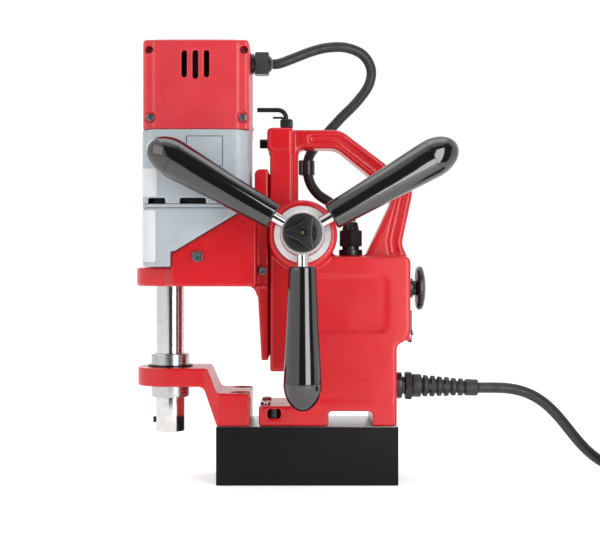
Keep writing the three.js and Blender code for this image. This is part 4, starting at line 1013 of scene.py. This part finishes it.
def motor_body():
    """The field housing with its row of vents, a blank label round the corner and a ruled blank panel."""
    lowest, highest = low("motor_body"), high("motor_body")
    body = plate("body", [unit_plan()], (lowest.z, highest.z), "XY", 0.6, 2)
    cuts = [cutter("hollow", unit_plan(3.2), (lowest.z - 2, highest.z - 6), "XY")]
    vent_height = 5.2
    for side in (-1, 1):
        face = side * highest.y
        through = sorted((face - side * 14, face + side * 2))
        for vent in ((-143.2, -127.5), (-114.3, -91), (-78, -60)):
            cuts.append(block("vent", vent, through, (lowest.z - 1, lowest.z + vent_height)))
    finish_piece(cast(cut(body, *cuts), 0.8, 3, 0.4), "carriage", "grey_plastic", "motor_body")
    # A near-black ring inside the body behind the vents: painted shade, so that the vents read black.
    shade_outlines = [unit_plan(8), unit_plan(9.5)]
    vent_shade = plate("vent_shade_ring", shade_outlines, (lowest.z + 0.2, lowest.z + 8), "XY", 0.1, 1)
    finish_piece(vent_shade, "carriage", "grey_plastic", material="shade_black")
    label = skin("corner_label", "motor_body", [rectangle((-160, -135), (260.7, 286), 1.5)])
    finish_piece(label, "carriage", "grey_plastic", material="blank_label")
    panel = [rectangle((-108.5, -75.7), (288, 315.2), 1), rectangle((-108.0, -76.2), (288.5, 314.7), 0.6)]
    rule = skin("panel_rule", "motor_body", panel)
    finish_piece(rule, "carriage", "grey_plastic", material="dark_label")


def motor_covers():
    """Two half covers with flat corner posts, swollen faces, slots and deep screw wells."""
    lowest, highest = low("motor_cover_front"), high("motor_cover_rear")
    across, along = (lowest.x, highest.x), (-highest.y, highest.y)
    plan = bowed(across, along, 4.0, 0.9, 10.5, 0.9)
    inner = rectangle((lowest.x + 3, highest.x - 3), (-highest.y + 5, highest.y - 5), 9, 12)
    centre = middle("armature").x
    slot_pitch, slot_half = 10, 2.5
    wells = []
    for row, radius, spread, depth in (("upper", 3.6, 42.6, 11.0), ("lower", 5.2, 41.8, 4.2)):
        z = middle(f"cover_screw_{row}_left").z
        for side, edge in (("left", -1), ("right", 1)):
            wells.append((f"cover_screw_{row}_{side}", centre + 0.8 + edge * spread, z, radius, depth))
    for name, side in (("front", -1), ("rear", 1)):
        face = side * highest.y
        axis = "-Y" if side < 0 else "Y"
        shell = plate("shell", [plan], (lowest.z - 12, highest.z), "XY", 3.0, 5)
        cuts = [
            block("skirt", (-200, 0), (-60, 60), (lowest.z - 20, lowest.z)),
            block("other_half", (-200, 0), sorted((-side * 60, side * 0.15)), (300, 420)),
            plate("hollow", [inner], (lowest.z - 5, highest.z - 3.4), "XY", 2.0),
            cylinder("gland_hole", 6.9, (-60, -40), "X", (0, 0, middle("motor_gland").z), 32),
        ]
        for i in (-1, 0, 1):
            slot_x = centre + i * slot_pitch
            bottom = 368 if i else 366.5
            slot = rectangle((slot_x - slot_half, slot_x + slot_half), (bottom, 392.3), 2.2)
            cuts.append(cutter(f"slot_{i}", slot, sorted((face - side * 9, face + side * 2))))
        bosses = []
        holes = []
        for _, x, z, radius, depth in wells:
            wall = sorted((face - side * 4, face - side * (depth + 3)))
            bosses.append(cylinder("boss", radius + 1.1, wall, "Y", (x, 0, z)))
            drill = sorted((face + side * 2, face - side * depth))
            holes.append(cylinder("well", radius, drill, "Y", (x, 0, z), 40))
        shell = cast(cut(joined("shell", [cut(shell, *cuts), *bosses]), *holes), 0.75, 3, 0.4)
        shell.name = f"cover_{name}"
        finish_piece(shell, "carriage", "red_cover", f"motor_cover_{name}")
        for node, x, z, radius, depth in wells:
            head = cross_head(f"{node}_{name}", radius * 0.7, 1.6, axis, (x, face - side * depth, z))
            nodes = [node] if name == "front" else []
            finish_piece(head, "carriage", "ground_steel", *nodes, material="grey_screw")
    # A near-black sleeve inside the covers behind the slots: painted shade, so that the slots read black.
    slot_shade = lathe("slot_shade_sleeve", [(27, 352), (31, 352), (31, 394), (27, 394)], "Z", (centre, 0, 0), 64)
    finish_piece(slot_shade, "carriage", "black_plastic", material="shade_black")


# ----------------------------------------------------------------------------------------------------
# Glands and strain relief

def hex_nut(name, across, span):
    """A hexagon nut over a span, its corners chamfered at both ends."""
    chamfer = 1.0
    nut = plate(name, [polygon(6, across)], span, "XY", 0.3)
    reach = across / 2 / math.cos(math.pi / 6) + 0.01
    cone = lathe("cone", [
        (0, span[0] - 1), (across / 2, span[0]), (reach, span[0] + chamfer), (reach, span[1] - chamfer),
        (across / 2, span[1]), (0, span[1] + 1),
    ])
    return boolean(nut, "INTERSECT", cone)


def gland(name, body, node, seat, neck, nut, across, dome, axis, at):
    """A cable gland from its seat: a flanged seat, a neck, a hexagon cap nut and a domed rubber seal."""
    seat_radius, seat_top = seat
    nut_top = nut[1]
    dome_radius, dome_top = dome
    lip, lead_hole = dome_radius + 1.5, 5.2
    parts = [
        lathe("seat", [
            (0, 0), (seat_radius, 0, 0.4), (seat_radius, seat_top, 0.8), (neck, seat_top), (neck, nut_top),
            (0, nut_top),
        ]),
        hex_nut("nut", across, nut),
        lathe("dome", [
            (0, nut_top - 1), (lip, nut_top - 1), (lip, nut_top, 0.5), (dome_radius, dome_top - 0.6, 1.0),
            (lead_hole, dome_top, 0.3), (0, dome_top),
        ]),
    ]
    piece = move(joined(name, parts), at, AXES[axis].to_4x4())
    return finish_piece(piece, body, "black_plastic", node)


def strain_relief():
    """The boot over the mains lead, with open ribs that taper to a plain collar."""
    start, end = low("strain_relief_boot").x, high("strain_relief_boot").x
    length = end - start
    ribs, pitch, first = 6, 6.6, 10.5
    profile = [(0, 0), (10.7, 0, 0.8), (10.7, first - 2.4, 0.9), (7.6, first - 1.6, 0.6)]
    for rib in range(ribs):
        outer = 10.3 - rib * 0.42
        begin = first + rib * pitch
        profile += [(outer - 2.8, begin - 0.4, 0.5), (outer, begin, 0.8), (outer - 0.15, begin + 3.9, 0.9),
                    (outer - 2.8, begin + 4.3, 0.5)]
    profile += [(7.0, first + ribs * pitch - 0.5, 0.4), (7.75, first + ribs * pitch + 0.4, 0.8),
                (7.6, length - 0.4, 1.4), (0, length - 0.4)]
    boot = lathe("boot", profile, "Z", (0, 0, 0), 72, 4)
    windows = []
    for rib in range(ribs):
        turn = Matrix.Rotation(math.radians(90 * (rib % 2)), 4, "Z")
        begin = first + rib * pitch
        for side in (-1, 1):
            window = block("window", sorted((side * 6.2, side * 12)), (-3.0, 3.0), (begin - 1, begin + 5.0))
            window.data.transform(turn)
            windows.append(window)
    boot = cut(boot, *windows)
    droop = Matrix.Rotation(math.radians(2), 4, "Y")
    move(boot, (start, 0, middle("mains_gland").z), droop @ AXES["X"].to_4x4())
    boot.name = "strain_relief"
    finish_piece(boot, "stand", "black_rubber", "strain_relief_boot")


def glands():
    """The three cable glands: mains, top of the housing, and motor."""
    mains_at = (low("mains_gland").x + 8, 0, middle("mains_gland").z)
    gland("mains_gland_piece", "stand", "mains_gland", (12.4, 6.9), 8.2, (9.9, 16.2), 24.8, (8.5, 16.6),
          "X", mains_at)
    top_at = (middle("top_gland").x, 0, low("top_gland").z + 10)
    gland("top_gland_piece", "stand", "top_gland", (11, 5.3), 8.0, (8.3, 23.3), 20.5, (6.6, 31.3),
          "Z", top_at)
    motor_at = (high("motor_gland").x - 19.2, 0, middle("motor_gland").z)
    gland("motor_gland_piece", "carriage", "motor_gland", (9.5, 2.8), 7.0, (3.4, 16.6), 20.5, (6.4, 19.2),
          "X", motor_at)


# ----------------------------------------------------------------------------------------------------
# Controls

def stop_button():
    """The mushroom button and the collar it slides in."""
    z = middle("stop_button_head").z
    end = high("stop_button_head").x
    collar_start = 93.9
    collar = lathe("button_collar", [
        (7.4, collar_start - 6), (9.1, collar_start - 6), (9.1, collar_start), (12.2, collar_start, 0.3),
        (12.2, collar_start + 2.2, 0.8), (9.3, collar_start + 2.2, 0.4), (9.1, 98.9, 0.5), (7.4, 98.9),
    ], "X", (0, 0, z))
    finish_piece(collar, "stand", "black_plastic", "stop_button_collar")
    rise = [(20.5 * math.cos(a), end - 4.6 + 4.6 * math.sin(a)) for a in
            (math.radians(12 * i) for i in range(1, 8))]
    head = lathe("button_head", [
        (0, 88), (7.0, 88), (7.0, 102.3, 0.8), (18.8, 102.6, 1.0), (20.5, end - 6.2, 0.8), *rise, (0, end),
    ], "X", (0, 0, z))
    finish_piece(head, "stop_button", "black_plastic", "stop_button_head")


def rocker_switch():
    """The switch's bezel, and its paddle tipped to one side."""
    frame_low, frame_high = low("rocker_frame"), high("rocker_frame")
    z = middle("rocker_frame").z
    outer = rectangle((-12.5, 12.5), (frame_low.z, frame_high.z), 2.0)
    hole = rectangle((-8.3, 8.3), (z - 10.2, z + 10.2), 0.8)
    bezel = plate("switch_bezel", [outer, hole], (94.2, frame_high.x), "YZ", 0.7)
    finish_piece(bezel, "stand", "black_plastic", "rocker_frame")
    face = rounded([(-5, -7, 0.5), (6.4, -9.6, 1.2), (4.7, 0, 12), (6.4, 9.6, 1.2), (-5, 7, 0.5)])
    paddle = plate("switch_paddle", [face], (-8, 8), "XZ", 0.5)
    lean = Matrix.Rotation(math.radians(-8), 4, "Y")
    move(paddle, (92, 0, z), lean)
    finish_piece(paddle, "rocker", "black_plastic", "rocker_paddle")


def control_panel():
    """The plate that closes the housing's switch side, with a screw in each corner."""
    lowest, highest = low("control_panel"), high("control_panel")
    outer = rectangle((lowest.y, highest.y), (lowest.z, highest.z), 4)
    face = plate("switch_panel", [outer], (lowest.x, highest.x), "YZ", 0.5)
    finish_piece(face, "stand", "red_enamel", "control_panel")
    for i, (y, z) in enumerate([(y, z) for y in (-28, 28) for z in (134.5, 196.5)]):
        head = cross_head(f"panel_screw_{i}", 2.8, 1.5, "X", (highest.x - 0.1, y, z))
        finish_piece(head, "stand", "ground_steel")


# ----------------------------------------------------------------------------------------------------
# Keys, stop and clip

def hex_keys():
    """The two stored keys, each a bar with one bend."""
    for node, radius, bend in (("hex_key_large", 2.1, 7.5), ("hex_key_small", 1.0, 4.5)):
        lowest, highest = low(node), high(node)
        y = middle(node).y
        leg_x = highest.x - radius
        top = highest.z - radius
        arc = [(leg_x - bend + bend * math.sin(a), y, top - bend + bend * math.cos(a)) for a in
               (math.radians(15 * i) for i in range(7))]
        route = [(lowest.x + 0.2, y, top), *arc, (leg_x, y, lowest.z + 0.5)]
        key = tube_mesh(f"{node}_bar", route, radius)
        finish_piece(key, node.replace("hex_key_", "") + "_key", "black_oxide_steel", node)


def small_parts():
    """The key holder, the travel stop, the base screws and the lead's clip."""
    lowest, highest = low("key_holder"), high("key_holder")
    holder = plate("key_block", [rectangle((lowest.x, highest.x), (lowest.z, highest.z), 2)],
                   (lowest.y, highest.y), "XZ", 0.9)
    finish_piece(holder, "stand", "black_plastic", "key_holder")
    stop = middle("travel_stop_bolt")
    head = socket_head("stop_bolt", 4.3, 8.0, 4.0, "X", (0, 0, 0), 2.5, 8)
    move(head, (-36.1, 0, stop.z), Matrix.Rotation(math.pi, 4, "Z"))
    finish_piece(head, "stand", "black_oxide_steel", "travel_stop_bolt")
    for i, y in enumerate((-20, 20)):
        screw = socket_head(f"base_screw_{i}", 4.4, 3.0, 4.0, "Z", (-38, y, 71.0))
        finish_piece(screw, "stand", "ground_steel", *(["stand_bolt_front"] if i == 0 else []))
    clip_low, clip_high = low("cable_clip"), high("cable_clip")
    band = lathe("clip_band", [(5.1, clip_low.z, 0.5), (7.1, clip_low.z, 0.8), (7.1, clip_high.z, 0.8),
                               (5.1, clip_high.z, 0.5)], "Z", (0.4, 16, 0), 64)
    lug = block("clip_lug", (clip_low.x, -3.5), (9.5, 14.5), (clip_low.z, clip_high.z), 0.8)
    clip = joined("lead_clip", [band, lug])
    finish_piece(clip, "stand", "black_plastic", "cable_clip")


# ----------------------------------------------------------------------------------------------------
# Spindle

def spindle():
    """The spindle, with the arbor socket in its nose and the hole for the arbor's screw."""
    bottom, top = low("spindle").z, high("spindle").z
    body = lathe("spindle_bar", [
        (0, bottom + 32), (9.5, bottom + 32), (9.5, bottom + 1), (10.5, bottom), (13.8, bottom, 0.8),
        (13.8, 76.7, 0.5), (13.0, 77.6), (13.0, 200), (10, 200.5), (10, top), (0, top),
    ], at=(spindle_x, 0, 0))
    hole = cylinder("screw_hole", 3.3, (spindle_x - 16, spindle_x - 5), "X", (0, 0, 55), 32)
    finish_piece(cut(body, hole), "spindle", "bright_chrome", "spindle")


# ----------------------------------------------------------------------------------------------------
# Capstan

ARM_ANGLES = {"right": 30, "left": 150, "lower": 270}
GRIP_START, GRIP_END = 28.8, 154.6


def capstan():
    """The hub with its three sockets, the cap with its three-lobed knob, and the arms."""
    hub = middle("capstan_hub")
    at = (hub.x, 0, hub.z)
    back, front = -high("capstan_hub").y, -low("capstan_hub").y
    arms_centre = Vector((hub.x, middle("handle_grip_right").y, hub.z))
    body = lathe("hub_body", [
        (8.2, back), (25.7, back, 0.8), (25.7, back + 3.6, 1.0), (19.6, back + 7.5, 3.0), (18.6, front - 0.8),
        (18.0, front - 0.2), (8.2, front - 0.2),
    ], "-Y", at, 128)
    sockets = []
    for angle in ARM_ANGLES.values():
        socket = cylinder("socket", 5.15, (5, 30), "X", (0, 0, 0), 48)
        turn = Matrix.Rotation(math.radians(-angle), 4, "Y")
        sockets.append(move(socket, arms_centre, turn))
    finish_piece(cut(body, *sockets), "capstan", "turned_aluminium", "capstan_hub")

    cap_start = -high("hub_cap").y
    cap = lathe("cap_disc", [(0, cap_start), (17.0, cap_start, 0.3), (17.0, cap_start + 2.6, 1.0),
                             (12.0, cap_start + 3.2, 3.0), (0, cap_start + 3.0)], "-Y", at)
    lobes = []
    for tip in (60, 180, 300):
        for radius, turn, corner in ((20.3, tip, 2.4), (7.9, tip + 60, 14.0)):
            a = math.radians(turn)
            lobes.append((hub.x + radius * math.cos(a), hub.z + radius * math.sin(a), corner))
    knob = plate("cap_knob", [rounded(lobes, 10)], (-cap_start - 9, -cap_start - 1.5), "XZ", 1.2, 4)
    well = cylinder("well", 3.0, (cap_start + 4.4, cap_start + 12), "-Y", at, 40)
    finish_piece(cut(joined("hub_cap_knob", [cap, knob]), well), "capstan", "black_plastic", "hub_cap")
    screw = cross_head("cap_screw", 2.5, 1.4, "-Y", (hub.x, -cap_start - 4.3, hub.z))
    finish_piece(screw, "capstan", "bearing_bronze")

    for label, angle in ARM_ANGLES.items():
        capstan_arm(label, angle, arms_centre)


def grip_radius(along):
    """The swelling of a handle grip, from its neck to its round end."""
    knots = [(GRIP_START, 11.9), (58.8, 13.2), (83.7, 14.35), (113.6, 16.2), (130.0, 16.95)]
    if along >= knots[-1][0]:
        share = (along - knots[-1][0]) / (GRIP_END - knots[-1][0])
        return knots[-1][1] * math.sqrt(max(0.0, 1 - share * share))
    for (a, ra), (b, rb) in zip(knots, knots[1:]):
        if along <= b:
            return ra + (rb - ra) * (along - a) / (b - a)
    return 0.0


def capstan_arm(label, angle, centre):
    """A chromed rod and its grip, which has a fine line round it where the swelling ends."""
    turn = Matrix.Rotation(math.radians(-angle), 4, "Y")
    rod = move(lathe("rod", [(0, 9), (5, 9, 0.6), (5, 89, 0.8), (0, 89)], "X", (0, 0, 0), 48), centre, turn)
    rod.name = f"arm_rod_{label}"
    finish_piece(rod, "capstan", "bright_chrome", f"handle_rod_{label}", material="arm_chrome")
    steps = [GRIP_START + 1.0 + (GRIP_END - 26 - GRIP_START) * i / 30 for i in range(1, 31)]
    ends = [130 + (GRIP_END - 130) * math.sin(math.radians(4.5 * i)) for i in range(1, 20)]
    profile = [
        (5.2, 60), (5.2, GRIP_START, 0.3), (10.6, GRIP_START, 0.8), (12.0, GRIP_START + 1.2, 0.8),
        *((grip_radius(x), x) for x in steps if x < 129.5),
        (17.0, 129.7), (16.75, 129.9), (16.75, 130.2), (16.95, 130.4),
        *((grip_radius(x), x) for x in ends if x > 130.8),
        (0, GRIP_END), (0, 60),
    ]
    grip = move(lathe("grip", profile, "X"), centre, turn)
    grip.name = f"arm_grip_{label}"
    finish_piece(grip, "capstan", "grip_black", f"handle_grip_{label}")


carriage()
gear_case()
motor_body()
motor_covers()
glands()
strain_relief()
stop_button()
rocker_switch()
control_panel()
hex_keys()
small_parts()
spindle()
capstan()


# ----------------------------------------------------------------------------------------------------
# Nodes that show as they are

slots = {part["node"]: part["material_slot"] for part in frame["record"]["subparts"]}
for name, node in frame["nodes"].items():
    if node.hide_render:
        continue
    node.data.materials.clear()
    node.data.materials.append(materials[slots[name]])
